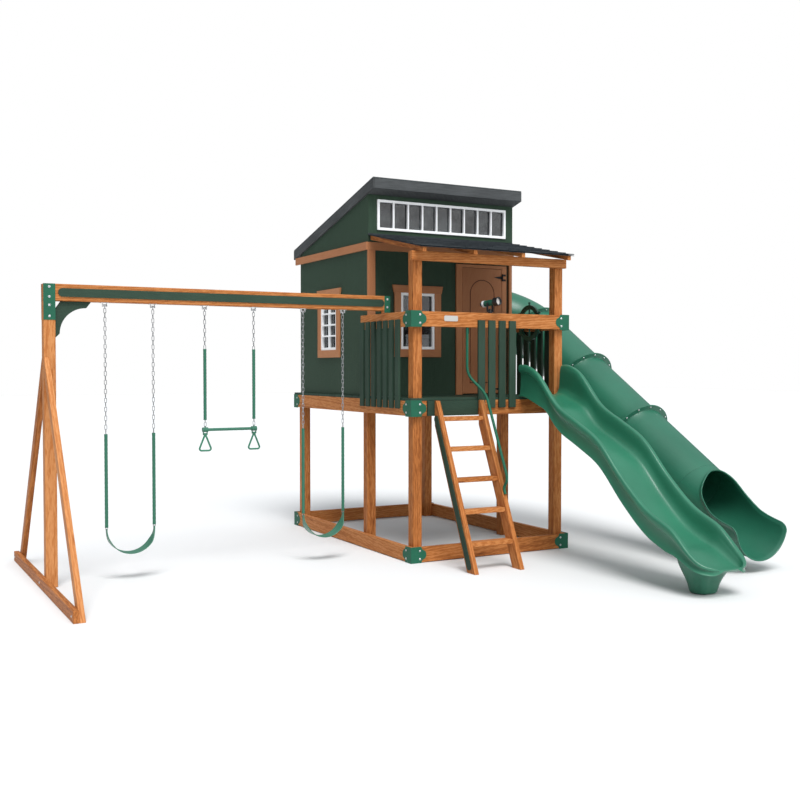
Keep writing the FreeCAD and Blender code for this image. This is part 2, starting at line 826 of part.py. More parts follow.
def make_door_hardware(left, front):
    """Hinge leaves and pins on the frame; straps and the pull on the door."""
    hinge_x = size("hinge_x")
    hinge_y = size("hinge_y")
    knuckle = 8
    pin = 5
    leaves = []
    straps = []
    for level in HINGE_LEVELS:
        parts = [cylinder((hinge_x, hinge_y, level - 38), pin, 76)]
        for low in (level - 36, level + 16):
            parts.append(cylinder((hinge_x, hinge_y, low), knuckle, 20))
            parts.append(box((hinge_x, hinge_y + 3, low), 44, 6, 20))
        leaves.append(fuse(*parts))
        barrel = cylinder((hinge_x, hinge_y, level - 15.5), knuckle, 31)
        strap = outline_body(
            "XZ_Plane",
            (
                (hinge_x - 4, level - 15.5),
                (hinge_x - 4, level + 15.5),
                (hinge_x - 60, level + 9),
                (hinge_x - 106, level),
                (hinge_x - 60, level - 9),
            ),
            4,
            (0, front, 0),
        )
        bore = cylinder((hinge_x, hinge_y, level - 20), pin + size("fit_gap"), 40)
        straps.append(cut(fuse(barrel, strap), bore))
    sub_part("door_hinges", group(*leaves))
    pull_x = left + 51
    pull = bent_tube(
        (
            (pull_x, front, 2160),
            (pull_x, front - 34, 2160),
            (pull_x, front - 34, 2245),
            (pull_x, front, 2245),
        ),
        6,
        14,
    )
    sub_part("door_hardware", group(*straps, shaped(pull)))


# ---------------------------------------------------------------- tube slide


def tube_direction():
    """Unit vector down the straight run."""
    return V(0, -1, -size("tube_drop")).normalize()


def tube_point(y):
    return V(size("tube_x"), y, size("tube_zero_z") + size("tube_drop") * y)


RING_Y = (1467, 602, -263)
SEAM_Y = -1065


def tube_elbow_start():
    """Centre of the bend's upper end, where the tube runs straight out of the wall."""
    down = tube_direction()
    bend_end = tube_point(RING_Y[0]) - down * (size("flange_thick") / 2)
    return bend_end - (X_AXIS + down) * size("tube_bend")


def tube_run(start, end):
    """Straight tube between two points."""
    axis = end - start
    outer = cylinder(start, "tube_radius", axis.Length, axis)
    margin = axis * (1 / axis.Length)
    inner = cylinder(start - margin, "tube_radius - tube_wall", axis.Length + 2, axis)
    return outer, inner


def flange(point, direction):
    """Half of a flanged joint: a disc that stands on the tube's end."""
    unit = V(*direction).normalize()
    return cylinder(point, "flange_radius", "flange_thick / 2", unit)


def make_tube():
    down = tube_direction()
    half = size("flange_thick") / 2
    first, second, third = (tube_point(y) for y in RING_Y)
    seam = tube_point(SEAM_Y)
    make_tube_elbow(first, down)
    runs = []
    for start, end, low_flange in ((first, second, True), (second, third, True), (third, seam, False)):
        outer, inner = tube_run(start, end)
        pieces = [outer, flange(start, down)]
        if low_flange:
            pieces.append(flange(end - down * half, down))
        runs.append(cut(fuse(*pieces), inner))
    sub_part("tube_sections", group(*runs))
    make_tube_exit(seam, down)


def ring_face(centre, direction, outer, inner):
    """Flat ring across a tube."""
    discs = [Part.Face(Part.Wire(Part.makeCircle(r, centre, direction))) for r in (outer, inner)]
    return discs[0].cut(discs[1])


def make_tube_elbow(end, down):
    """Quarter bend from the cabin wall down to the straight run, with a flange at each end."""
    start = tube_elbow_start()
    flange_thick = size("flange_thick") / 2
    centre = start + down * size("tube_bend")
    radius = size("tube_radius")
    bore = radius - size("tube_wall")
    wide = size("flange_radius")
    bend = ring_face(start, X_AXIS, radius, bore).revolve(centre, X_AXIS.cross(down), 90)
    wall = V(W - size("wall_inset"), start.y, start.z)
    collar_end = wall + X_AXIS * flange_thick
    collar = ring_face(wall, X_AXIS, wide, bore).extrude(X_AXIS * flange_thick)
    stub = ring_face(collar_end, X_AXIS, radius, bore).extrude(start - collar_end)
    rim = ring_face(end - down * flange_thick, down, wide, bore).extrude(down * flange_thick)
    sub_part("tube_elbow", shaped(collar.fuse([stub, bend, rim])))


# the exit's cut edge, seen from the side: distance from the seam, height over the centre line
EXIT_RIM = (
    (125, 290),
    (190, 250),
    (300, 158),
    (400, 104),
    (520, 52),
    (640, 26),
    (760, 8),
    (870, -8),
)


def make_tube_exit(seam, down):
    """Open scoop: the tube levels out and widens, and its top is cut away behind a short hood."""
    radius = size("tube_radius")
    bend = size("exit_bend")
    normal = V(0, -size("tube_drop"), 1).normalize()
    hub = seam + normal * bend
    stations = 6

    def spin(angle):
        return FreeCAD.Rotation(X_AXIS * -1, angle)

    def swept(inset):
        rings = []
        for k in range(stations + 1):
            turn = spin(size("exit_turn") * k / stations)
            ring_radius = radius - inset + size("exit_flare") * k / stations
            centre = hub + turn.multVec(seam - hub)
            rings.append(Part.Wire(Part.makeCircle(ring_radius, centre, turn.multVec(down))))
        return Part.makeLoft(rings, True, False)

    def rim_point(distance, height):
        turn = spin(math.degrees(distance / bend))
        return hub + turn.multVec(seam + normal * height - hub)

    shell = swept(0).cut(swept(size("tube_wall")))
    edge = [rim_point(distance, height) for distance, height in EXIT_RIM]
    edge[0] += Z_AXIS * 20
    rim = Part.BSplineCurve()
    rim.interpolate(edge)
    far = edge[-1] + Z_AXIS * 600
    near = edge[0] + Z_AXIS * 400
    above = [
        Part.LineSegment(edge[-1], far).toShape(),
        Part.LineSegment(far, near).toShape(),
        Part.LineSegment(near, edge[0]).toShape(),
    ]
    opening = Part.Face(Part.Wire([rim.toShape()] + above)).extrude(V(4 * radius, 0, 0))
    opening.translate(V(-2 * radius, 0, 0))
    sub_part("tube_exit", shaped(shell.cut(opening)))


# ---------------------------------------------------------------- wave slide


# side profile of the rims: depth forwards, height
RIM_PROFILE = (
    (0, 1836),
    (110, 1832),
    (300, 1747),
    (600, 1463),
    (900, 1319),
    (1200, 1166),
    (1500, 880),
    (1800, 647),
    (2100, 515),
    (2200, 435),
    (2300, 348),
    (2400, 280),
    (2475, 245),
)
# the nose narrows, gets shallower and closes between these distances
NOSE_START = 2050
TAPER_START = 2200
SLIDE_END = 2475


def slide_levels(forward, rim_z):
    """Half width, height of the bed and height of the skirt's lower edge at one station."""
    nose = max(0, (forward - NOSE_START) / (SLIDE_END - NOSE_START))
    taper = max(0, (forward - TAPER_START) / (SLIDE_END - TAPER_START))
    half = size("slide_wide") / 2 * (1 - 0.5 * taper ** 4)
    # the bed is level with the deck at first, then a set depth below the rims
    shelf = DECK + 18 - max(0, forward - 90) * 0.35
    bed_z = min(shelf, rim_z - size("slide_depth") * (1 - 0.85 * nose))
    skirt_z = max(rim_z - size("slide_skirt") * (1 - 0.82 * nose), bed_z - 60)
    return half, bed_z, min(skirt_z, bed_z - 20)


def section_wire(forward, outline):
    """Closed outline across the slide from points given by distance from its middle and height."""
    points = [V(size("slide_x") + u, -2 - forward, v) for u, v in outline]
    return Part.makePolygon(points + points[:1])


def slide_under(half, bed_z, skirt_z):
    """Right half of the slide's underside, from the skirt inwards."""
    return [(half - 30, skirt_z), (half - size("slide_rim") - 74, bed_z - 10)]


def slide_section(forward, rim_z):
    """The slide's own outline at one station."""
    half, bed_z, skirt_z = slide_levels(forward, rim_z)
    rim = size("slide_rim")
    right = [
        (half - 14, skirt_z),
        (half, rim_z - 14),
        (half - 8, rim_z),
        (half - rim + 6, rim_z),
        (half - rim, rim_z - 12),
        (half - rim - 22, bed_z + (rim_z - bed_z) * 0.25),
        (half - rim - 70, bed_z),
    ]
    under = slide_under(half, bed_z, skirt_z)
    left = [(-u, v) for u, v in reversed(right)]
    return section_wire(forward, right + left + [(-u, v) for u, v in under] + under[::-1])


def slide_shadow(forward, rim_z):
    """Everything from just under the slide upwards at one station."""
    half, bed_z, skirt_z = slide_levels(forward, rim_z)
    gap = 1
    under = [(half, skirt_z), *slide_under(half, bed_z, skirt_z)]
    right = [(half, 2 * DECK)] + [(u, v - gap) for u, v in under]
    return section_wire(forward, right + [(-u, v) for u, v in reversed(right)])


# the foot's rounded outline: height, half width across, front, back
FOOT_LEVELS = (
    (0, 105, -2270, -2090),
    (50, 115, -2285, -2085),
    (150, 165, -2330, -2050),
    (230, 195, -2380, -2020),
    (340, 205, -2410, -2000),
)


def make_wave_slide():
    sections = [slide_section(forward, rim_z) for forward, rim_z in RIM_PROFILE]
    sub_part("wave_slide", shaped(Part.makeLoft(sections, True, False)))

    rings = []
    for z, half, front, back in FOOT_LEVELS:
        across = half
        deep = (back - front) / 2
        centre = V(size("slide_x"), (front + back) / 2, z)
        if across >= deep:
            ring = Part.Ellipse(centre, across, deep)
        else:
            ring = Part.Ellipse(centre + V(0, deep, 0), centre + V(across, 0, 0), centre)
        rings.append(Part.Wire(ring.toShape()))
    foot = Part.makeLoft(rings, True, False)
    shadow = Part.makeLoft([slide_shadow(forward, rim_z) for forward, rim_z in RIM_PROFILE], True, False)
    sub_part("wave_slide_foot", shaped(foot.cut(shadow)))


# ---------------------------------------------------------------- ladder


def stringer_front(z):
    """Depth of the stringers' front edge at a height."""
    run = size("ladder_head_y") - size("ladder_foot_y")
    return size("ladder_foot_y") + run * z / (DECK - 24)


def make_ladder():
    left = size("ladder_left_x")
    right = left + size("ladder_wide") - RAIL
    deep = size("stringer_deep")
    head_z = DECK - 24
    face_y = -size("baluster_thick")
    slope = head_z / (size("ladder_head_y") - size("ladder_foot_y"))
    back_z = (face_y - size("ladder_foot_y") - deep) * slope
    corners = (
        (size("ladder_foot_y"), 0),
        (size("ladder_foot_y") + deep, 0),
        (face_y, back_z),
        (face_y, head_z),
        (size("ladder_head_y"), head_z),
    )
    stringers = [outline_body("YZ_Plane", corners, "rail_thick", (x, 0, 0)) for x in (left, right)]
    sub_part("ladder_stringers", group(*stringers))

    treads = []
    for k in range(int(size("tread_count"))):
        top = size("tread_first_z") + k * size("tread_rise")
        front = stringer_front(top) + 6
        treads.append(
            box(
                (left + RAIL, front, top - size("tread_thick")),
                "ladder_wide - 2 * rail_thick",
                100,
                "tread_thick",
            )
        )
    sub_part("ladder_treads", group(*treads))

    panel_z = DECK - size("board_thick") - size("rail_tall")
    panel_left = size("bracket_reach") + 4
    panel = box((panel_left, face_y, panel_z), 712 - panel_left, "baluster_thick", "rail_tall")
    inlay = ladder_inlay(left, slope, deep)
    sub_part("ladder_green_boards", group(panel, shaped(inlay)))

    clear = size("handrail_radius") * math.hypot(1, 1 / slope) + 0.1
    end_low = 650
    end_high = 712
    grip_x = right + RAIL / 2
    rail_z = size("top_rail_z")
    handrail = bent_tube(
        (
            (617, 22, rail_z),
            (617, 22, 1740),
            (grip_x, -118, 1560),
            (grip_x, -482, 783),
            (grip_x, stringer_front(end_high) - clear, end_high),
            (grip_x, stringer_front(end_low) - clear, end_low),
        ),
        size("handrail_radius"),
        32,
    )
    sub_part("ladder_handrail", shaped(handrail))


def ladder_inlay(left, slope, deep):
    """Strip with round ends on the outside of the left stringer."""
    lean = math.atan(slope)
    half = 32
    middle_y = size("ladder_foot_y") + deep / 2
    low = V(left, middle_y + 60 / slope, 60)
    high = V(left, middle_y + 1330 / slope, 1330)
    direction = (high - low).normalize()
    across = V(0, -math.sin(lean), math.cos(lean)) * half
    edges = [
        Part.LineSegment(low + across, high + across).toShape(),
        Part.Arc(high + across, high + direction * half, high - across).toShape(),
        Part.LineSegment(high - across, low - across).toShape(),
        Part.Arc(low - across, low - direction * half, low + across).toShape(),
    ]
    return Part.Face(Part.Wire(edges)).extrude(V(-9, 0, 0))


# ---------------------------------------------------------------- swing frame


def make_swing_frame():
    left = size("beam_left_x")
    y = size("beam_y") - POST / 2
    z = size("beam_z")
    sub_part("swing_beam", box((left, y, z), "beam_long", "post_size", "beam_tall"))
    sub_part("swing_post", box((left, y, 0), "post_size", "post_size", "beam_z"))

    low_x = -3020
    high_x = -20
    half = 35
    middle = z + size("beam_tall") / 2
    ends = [
        Part.LineSegment(V(low_x + half, y, middle - half), V(high_x - half, y, middle - half)).toShape(),
        Part.Arc(
            V(high_x - half, y, middle - half), V(high_x, y, middle), V(high_x - half, y, middle + half)
        ).toShape(),
        Part.LineSegment(V(high_x - half, y, middle + half), V(low_x + half, y, middle + half)).toShape(),
        Part.Arc(
            V(low_x + half, y, middle + half), V(low_x, y, middle), V(low_x + half, y, middle - half)
        ).toShape(),
    ]
    strip = Part.Face(Part.Wire(ends)).extrude(V(0, -9, 0))
    sub_part("beam_inlay", shaped(strip))
    make_a_frame(left, y)
    make_gusset(left + POST, z)


def make_a_frame(left, y):
    """Two leaning braces bolted to the post, and the board that ties their feet."""
    middle = size("beam_y")
    reach = size("frame_foot_y")
    apex = size("frame_apex_z")
    deep = size("brace_deep")
    run = reach - POST / 2
    drop = deep * apex / run
    braces = []
    for sign in (-1, 1):
        foot = middle + sign * reach
        face = middle + sign * POST / 2
        corners = ((foot, 0), (foot - sign * deep, 0), (face, apex - drop), (face, apex))
        braces.append(outline_body("YZ_Plane", corners, "rail_thick", (left, 0, 0)))
    base = box((left - RAIL, middle - reach, 0), "rail_thick", "2 * frame_foot_y", 90)
    sub_part("a_frame", group(*braces, base))


def make_gusset(post_face, beam_under):
    """Curved knee brace between post and beam."""
    thick = 38
    y = size("beam_y") + thick / 2
    far = 292
    inner = 252
    corner = 48
    centre = V(post_face + inner, y, beam_under - inner - 14)
    radius = inner - 38
    a = V(post_face, y, beam_under - far - 11)
    b = V(post_face, y, beam_under - corner - 22)
    c = V(post_face + corner, y, beam_under)
    d = V(post_face + far, y, beam_under)
    e = V(centre.x, y, centre.z + radius)
    f = V(centre.x - radius, y, centre.z)
    middle = centre + V(-1, 0, 1).normalize() * radius
    edges = [
        Part.LineSegment(a, b).toShape(),
        Part.LineSegment(b, c).toShape(),
        Part.LineSegment(c, d).toShape(),
        Part.LineSegment(d, e).toShape(),
        Part.Arc(e, middle, f).toShape(),
        Part.LineSegment(f, a).toShape(),
    ]
    sub_part("beam_gusset", shaped(Part.Face(Part.Wire(edges)).extrude(V(0, -thick, 0))))


def plate_sides():
    """Front and rear faces of the swing beam, with the outward direction of each."""
    y = size("beam_y")
    return ((y - POST / 2, -1), (y + POST / 2, 1))


def beam_plates():
    """Flat plates over the beam's joints with the post and with the tower."""
    thick = size("plate_thick")
    left = size("beam_left_x")
    top = size("beam_z") + size("beam_tall")
    plates = []
    for face, sign in plate_sides():
        y = face if sign > 0 else face - thick
        plates.append(box((left, y, top - 296), "post_size", "plate_thick", 296))
        plates.append(box((-14, y, size("top_rail_z") + size("rail_tall") + 5), 62, "plate_thick", 159))
    return plates


def frame_bolts():
    """Bolts of the swing frame; their heads stand on plates or on the timber."""
    bolt = bolt_shape(0)
    thick = size("plate_thick")
    left = size("beam_left_x")
    middle = size("beam_y")
    top = size("beam_z") + size("beam_tall")
    spots = []
    for face, sign in plate_sides():
        outward = V(0, sign, 0)
        y = face + sign * thick
        for drop in (26, 107, 175, 265):
            spots.append((V(left + POST / 2, y, top - drop), outward))
        for drop in (32, 108):
            spots.append((V(17, y, top - drop), outward))
    reach = size("frame_foot_y") - 55
    for y in (middle - reach, middle, middle + reach):
        spots.append((V(left - RAIL, y, 45), V(-1, 0, 0)))
    brace_lean = (size("frame_foot_y") - POST / 2) / size("frame_apex_z")
    bolt_z = size("frame_apex_z") - 100
    for sign in (-1, 1):
        y = middle + sign * (POST / 2 + 100 * brace_lean - size("brace_deep") / 2 + 10)
        spots.append((V(left + RAIL, y, bolt_z), X_AXIS))
    return [shaped(bolt.copy(), spot, FreeCAD.Rotation(Z_AXIS, outward)) for spot, outward in spots]


# ---------------------------------------------------------------- swings


LEFT_SWING_X = (-2635, -2230)
TRAPEZE_X = (-1772, -1318)
RIGHT_SWING_X = (-838, -433)
BELT_TOP_Z = 446


def make_hangers():
    """Yokes under the beam; each holds a pin that a swing turns on."""
    y = size("beam_y")
    pivot = size("pivot_z")
    top = size("beam_z")
    hangers = []
    for x in LEFT_SWING_X + TRAPEZE_X + RIGHT_SWING_X:
        plate = box((x - 32, y - 18, top - 4), 64, 36, 4)
        ears = straight_boards(((x - 20, y - 11, pivot), (x + 15, y - 11, pivot)), 5, 22, top - 4 - pivot)
        rounds = [cylinder((ear_x, y, pivot), 11, 5, (1, 0, 0)) for ear_x in (x - 20, x + 15)]
        pin = cylinder((x - 23, y, pivot), 4, 46, (1, 0, 0))
        hangers.append(fuse(plate, *ears, *rounds, pin))
    sub_part("swing_hangers", group(*hangers))


def eye_shape(fit):
    """Swinging eye at the zero point: a barrel on the pin with a drilled tongue below it."""
    barrel = Part.makeCylinder(9, 26, V(-13, 0, 0), X_AXIS)
    tongue = Part.makeBox(5, 18, 21, V(-2.5, -9, -21))
    tip = Part.makeCylinder(9, 5, V(-2.5, 0, -21), X_AXIS)
    hole = Part.makeCylinder(4.6, 10, V(-5, 0, -20.5), X_AXIS)
    bore = Part.makeCylinder(4 + fit, 30, V(-15, 0, 0), X_AXIS)
    return barrel.fuse(tongue).fuse(tip).cut(hole).cut(bore).removeSplitter()


def link_shape():
    """Chain link, upright in the XZ plane and centred on the zero point."""
    wire = size("link_wire") / 2
    half = size("link_half")
    straight = size("link_inner") - 2 * (half - wire)
    top = V(0, 0, straight / 2)
    low = V(0, 0, -straight / 2)
    path = Part.Wire(
        [
            Part.LineSegment(low + V(half, 0, 0), top + V(half, 0, 0)).toShape(),
            Part.Arc(top + V(half, 0, 0), top + V(0, 0, half), top - V(half, 0, 0)).toShape(),
            Part.LineSegment(top - V(half, 0, 0), low - V(half, 0, 0)).toShape(),
            Part.Arc(low - V(half, 0, 0), low - V(0, 0, half), low + V(half, 0, 0)).toShape(),
        ]
    )
    ring = Part.Wire(Part.makeCircle(wire, low + V(half, 0, 0), Z_AXIS))
    return path.makePipeShell([ring], True, False)


def chain(x, first_z, count, first_turn=0):
    """Links down from a height, each turned a quarter from the one above."""
    y = size("beam_y")
    step = size("link_step")
    link = link_shape()
    links = []
    for k in range(count):
        turn = FreeCAD.Rotation(Z_AXIS, 90 * ((k + first_turn) % 2))
        links.append(shaped(link.copy(), (x, y, first_z - k * step), turn))
    return links


def eyes_and_chain(x, count):
    """Moving eye on its pin and the chain below it."""
    y = size("beam_y")
    pivot = size("pivot_z")
    eye = shaped(eye_shape(size("fit_gap")), (x, y, pivot))
    hole_floor = pivot - 20.5 - 4.6
    first = hole_floor - size("link_inner") / 2 + 0.2
    return [eye] + chain(x, first, count)


def sleeve(x, low, high):
    """Soft grip on the chain: closed in the middle, with a pocket at each end for a link."""
    y = size("beam_y")
    pocket = 34
    body = cylinder((x, y, low), "sleeve_radius", high - low)
    holes = [
        cylinder((x, y, low - 1), "sleeve_bore", pocket + 1),
        cylinder((x, y, high - pocket), "sleeve_bore", pocket + 1),
    ]
    return cut(body, *holes)


def make_belt_swing(side, places):
    """One belt swing: eyes and chains, grips, and the belt seat between them."""
    y = size("beam_y")
    belt_thick = size("belt_thick")
    metal = []
    # how far the last link hangs below the tongue's web, so that its round end clears the web
    hang = 2.6
    for x in places:
        metal += eyes_and_chain(x, 28)
        last_link = BELT_TOP_Z - 4 + size("link_inner") / 2 - hang
        metal += chain(x, last_link, 1)
    sub_part(f"{side}_swing_chains", group(*metal))
    sub_part(f"{side}_swing_sleeves", group(*[sleeve(x, 455, 1245) for x in places]))

    left, right = places
    radius = (right - left) / 2
    middle = (left + right) / 2
    half_wide = size("belt_width") / 2
    outer = Part.makeCylinder(radius + belt_thick / 2, 2 * half_wide, V(0, -half_wide, 0), Y_AXIS)
    inner = Part.makeCylinder(radius - belt_thick / 2, 2 * half_wide, V(0, -half_wide, 0), Y_AXIS)
    ring = outer.cut(inner)
    keep = Part.makeBox(4 * radius, 2 * half_wide, 2 * radius, V(-2 * radius, -half_wide, -2 * radius))
    bowl = ring.common(keep)
    rise = 14
    for x in (-radius, radius):
        tab = Part.makeBox(belt_thick, 2 * half_wide, rise, V(x - belt_thick / 2, -half_wide, 0))
        bowl = bowl.fuse(tab)
    # the belt narrows to a tongue at each end
    for sign in (-1, 1):
        shoulder = Part.makePolygon(
            [
                V(0, sign * 22, rise + 1),
                V(0, sign * 22, -20),
                V(0, sign * half_wide, -110),
                V(0, sign * (half_wide + 1), rise + 1),
                V(0, sign * 22, rise + 1),
            ]
        )
        wedge = Part.Face(shoulder).extrude(V(4 * radius, 0, 0))
        wedge.translate(V(-2 * radius, 0, 0))
        bowl = bowl.cut(wedge)
    for x in (-radius, radius):
        bowl = bowl.cut(Part.makeCylinder(6, 40, V(x - 20, 0, rise - 10), X_AXIS))
    seat = shaped(bowl.removeSplitter(), (middle, y, BELT_TOP_Z - rise))
    sub_part(f"{side}_swing_belt", seat)


BAR_Z = 1258
KNOB = 21


def make_trapeze():
    """Trapeze bar on two sleeved chains, with a hand ring hung under each end."""
    y = size("beam_y")
    fit = size("fit_gap")
    left, right = TRAPEZE_X
    metal = []
    for x in TRAPEZE_X:
        metal += eyes_and_chain(x, 9)
        metal += chain(x, 1344 - 1.5, 2, 1)
    sub_part("trapeze_chains", group(*metal))
    sub_part("trapeze_sleeves", group(*[sleeve(x, 1344, 1969) for x in TRAPEZE_X]))
    link_low = 1344 - 1.5 - size("link_step") - size("link_inner") / 2
    pin_z = BAR_Z - 38
    pieces = [cylinder((left, y, BAR_Z), "bar_radius", right - left, (1, 0, 0))]
    for x in TRAPEZE_X:
        pieces.append(cylinder((x - 24, y, BAR_Z), KNOB, 48, (1, 0, 0)))
        hook = Part.makeBox(5, 18, link_low - BAR_Z + 5, V(x - 2.5, y - 9, BAR_Z))
        hole = Part.makeCylinder(4.6, 20, V(x - 10, y, link_low - 4.4), X_AXIS)
        pieces.append(shaped(hook.cut(hole)))
        for ear_x in (x - 20, x + 15):
            pieces.append(box((ear_x, y - 9, pin_z), 5, 18, 38))
            pieces.append(cylinder((ear_x, y, pin_z), 9, 5, (1, 0, 0)))
        pieces.append(cylinder((x - 22, y, pin_z), 4, 44, (1, 0, 0)))
    sub_part("trapeze_bar", fuse(*pieces))
    for label, x in zip(("ring_left", "ring_right"), TRAPEZE_X):
        make_hand_ring(label, x, y, pin_z, fit)


def make_hand_ring(label, x, y, pin_z, fit):
    """Triangular hand grip that swings on a pin under the trapeze bar."""
    grip = 8
    low = 1066 + grip
    apex = pin_z - 14
    path = (V(x, y, low), V(x + 60, y, low), V(x + 6, y, apex))
    right = bent_tube(path, grip, 18)
    left = right.mirror(V(x, 0, 0), X_AXIS)
    barrel = Part.makeCylinder(9, 26, V(x - 13, y, pin_z), X_AXIS)
    neck = Part.makeBox(20, 14, 22, V(x - 10, y - 7, pin_z - 26))
    bore = Part.makeCylinder(4 + fit, 30, V(x - 15, y, pin_z), X_AXIS)
    ring = right.fuse(left).fuse(barrel).fuse(neck).cut(bore)
    sub_part(label, shaped(ring.removeSplitter()))


# ---------------------------------------------------------------- play pieces


def make_telescope():
    """Toy telescope on the front rail: a swivelling yoke and a tilting tube."""
    base_z = size("top_rail_z") + size("rail_tall")
    x = 873
    y = 22.5
    pivot_z = 2424
    fit = size("fit_gap")
    base = cylinder((x, y, base_z), 22, 8)
    stem = cylinder((x, y, base_z + 8), 7, 34)
    cap = cylinder((x, y, base_z + 38), 10, 4)
    sub_part("telescope_base", fuse(base, stem, cap))

    turn = FreeCAD.Rotation(Z_AXIS, 16)
    at = V(x, y, pivot_z)
    low = base_z + 8.5 - pivot_z
    collar = Part.makeCylinder(15, 28, V(0, 0, low), Z_AXIS)
    collar = collar.cut(Part.makeCylinder(7 + fit, 40, V(0, 0, low - 5), Z_AXIS))
    arms = collar
    arm_low = low + 2
    for sign in (-1, 1):
        arm_x = 34 if sign > 0 else -40
        link = Part.makeBox(29, 20, 8, V(11 if sign > 0 else -40, -10, arm_low))
        arm = Part.makeBox(6, 20, -arm_low, V(arm_x, -10, arm_low))
        eye = Part.makeCylinder(10, 6, V(arm_x, 0, 0), X_AXIS)
        arms = arms.fuse(link).fuse(arm).fuse(eye)
    arms = arms.cut(Part.makeCylinder(5 + fit, 100, V(-50, 0, 0), X_AXIS))
    sub_part("telescope_yoke", shaped(arms.removeSplitter(), at, turn))

    tilt = turn.multiply(FreeCAD.Rotation(X_AXIS, -6))
    ahead = V(0, -1, 0)
    barrel = Part.makeCylinder(29, 120, V(0, 60, 0), ahead)
    trunnion = Part.makeCylinder(5, 88, V(-44, 0, 0), X_AXIS)
    body = barrel.fuse(trunnion)
    band = Part.makeCylinder(31, 24, V(0, 84, 0), ahead)
    eyepiece = Part.makeCone(20, 27, 26, V(0, 110, 0), ahead)
    hood = Part.makeCylinder(41, 52, V(0, -60, 0), ahead).cut(Part.makeCylinder(35, 30, V(0, -86, 0), ahead))
    lens = Part.makeCylinder(34, 6, V(0, -86, 0), ahead)
    sub_part("telescope_tube", shaped(body.removeSplitter(), at, tilt))
    fittings = (band, eyepiece, hood, lens)
    sub_part("telescope_fittings", group(*[shaped(piece, at, tilt) for piece in fittings]))


WHEEL_CENTRE = (1722, 564, 2271)


def make_ships_wheel():
    """Toy ship's wheel that turns on an axle on the right porch rail."""
    fit = size("fit_gap")
    x, y, z = WHEEL_CENTRE
    inner_face = W - RAIL
    axle = cylinder((x - 24, y, z), 10, inner_face - x + 24, (1, 0, 0))
    cap = cylinder((x - 30, y, z), 20, 9, (1, 0, 0))
    seat = cylinder((inner_face - 9, y, z), 26, 9, (1, 0, 0))
    sub_part("wheel_axle", fuse(axle, cap, seat))

    centre = V(x, y, z)
    rim_low = centre - X_AXIS * 11
    wheel = Part.makeCylinder(185, 22, rim_low, X_AXIS).cut(Part.makeCylinder(142, 22, rim_low, X_AXIS))
    wheel = wheel.fuse(Part.makeCylinder(45, 34, centre - X_AXIS * 17, X_AXIS))
    spokes = 6
    for k in range(spokes):
        angle = 2 * math.pi * k / spokes
        out = V(0, math.sin(angle), math.cos(angle))
        wheel = wheel.fuse(Part.makeCylinder(9, 190, centre + out * 20, out))
        wheel = wheel.fuse(Part.makeSphere(13, centre + out * 205))
    wheel = wheel.cut(Part.makeCylinder(10 + fit, 60, centre - X_AXIS * 30, X_AXIS))
    sub_part("ships_wheel", shaped(wheel.removeSplitter()))


def make_name_plate():
    """Blank rounded plate on the front rail."""
    plate = Part.makeBox(150, 3, 52, V(350, -3, 2238))
    upright = [e for e in plate.Edges if abs(e.tangentAt(e.FirstParameter).y) > 0.9]
    sub_part("name_plate", shaped(plate.makeFillet(14, upright)))


# ---------------------------------------------------------------- build, check, write


def bad_states(obj):
    return [s for s in obj.State if s in ("Invalid", "Error")]


def check_document():
    for obj in doc.Objects:
        if bad_states(obj):
            raise RuntimeError(f"{obj.Label} did not rebuild: {obj.State}")
    for obj in sub_parts:
        shape = obj.Shape
        if shape.isNull() or not shape.isValid():
            raise RuntimeError(f"{obj.Label} has a bad shape")
        if shape.Volume <= 0:
            raise RuntimeError(f"{obj.Label} is inside out")


def centre_on_ground():
    """Move every sub-part so that the middle of the set's footprint is the zero point."""
    whole = FreeCAD.BoundBox()
    for obj in sub_parts:
        whole.add(obj.Shape.optimalBoundingBox(False))
    shift = V(-(whole.XMin + whole.XMax) / 2, -(whole.YMin + whole.YMax) / 2, -whole.ZMin)
    for obj in sub_parts:
        obj.Placement = FreeCAD.Placement(shift, FreeCAD.Rotation()).multiply(obj.Placement)
    print(f"zero point moved by {shift.x:.3f}, {shift.y:.3f}, {shift.z:.3f}")
    print(f"size {whole.XLength:.1f} x {whole.YLength:.1f} x {whole.ZLength:.1f}")


def main():
    make_posts()
    make_rails()
    make_top_rails()
    make_deck_boards()
    make_brackets_and_bolts()
    make_balusters()
    make_porch()
    make_walls()
    make_framing()
    make_roof()
    make_cabin_trim()
    make_window_trims()
    make_windows()
    make_door()
    make_tube()
    make_wave_slide()
    make_ladder()
    make_swing_frame()
    make_hangers()
    make_belt_swing("left", LEFT_SWING_X)
    make_belt_swing("right", RIGHT_SWING_X)
    make_trapeze()
    make_telescope()
    make_ships_wheel()
    make_name_plate()
    doc.recompute()
    check_document()
    centre_on_ground()
    doc.recompute()
    check_document()
    os.makedirs("parts", exist_ok=True)
    for obj in sub_parts:
        obj.Shape.exportStep(os.path.join("parts", obj.Label + ".step"))
    print(f"{len(sub_parts)} sub-parts written")


main()
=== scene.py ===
import json
import math
import random

import bmesh
import bpy
from mathutils import Matrix, Vector


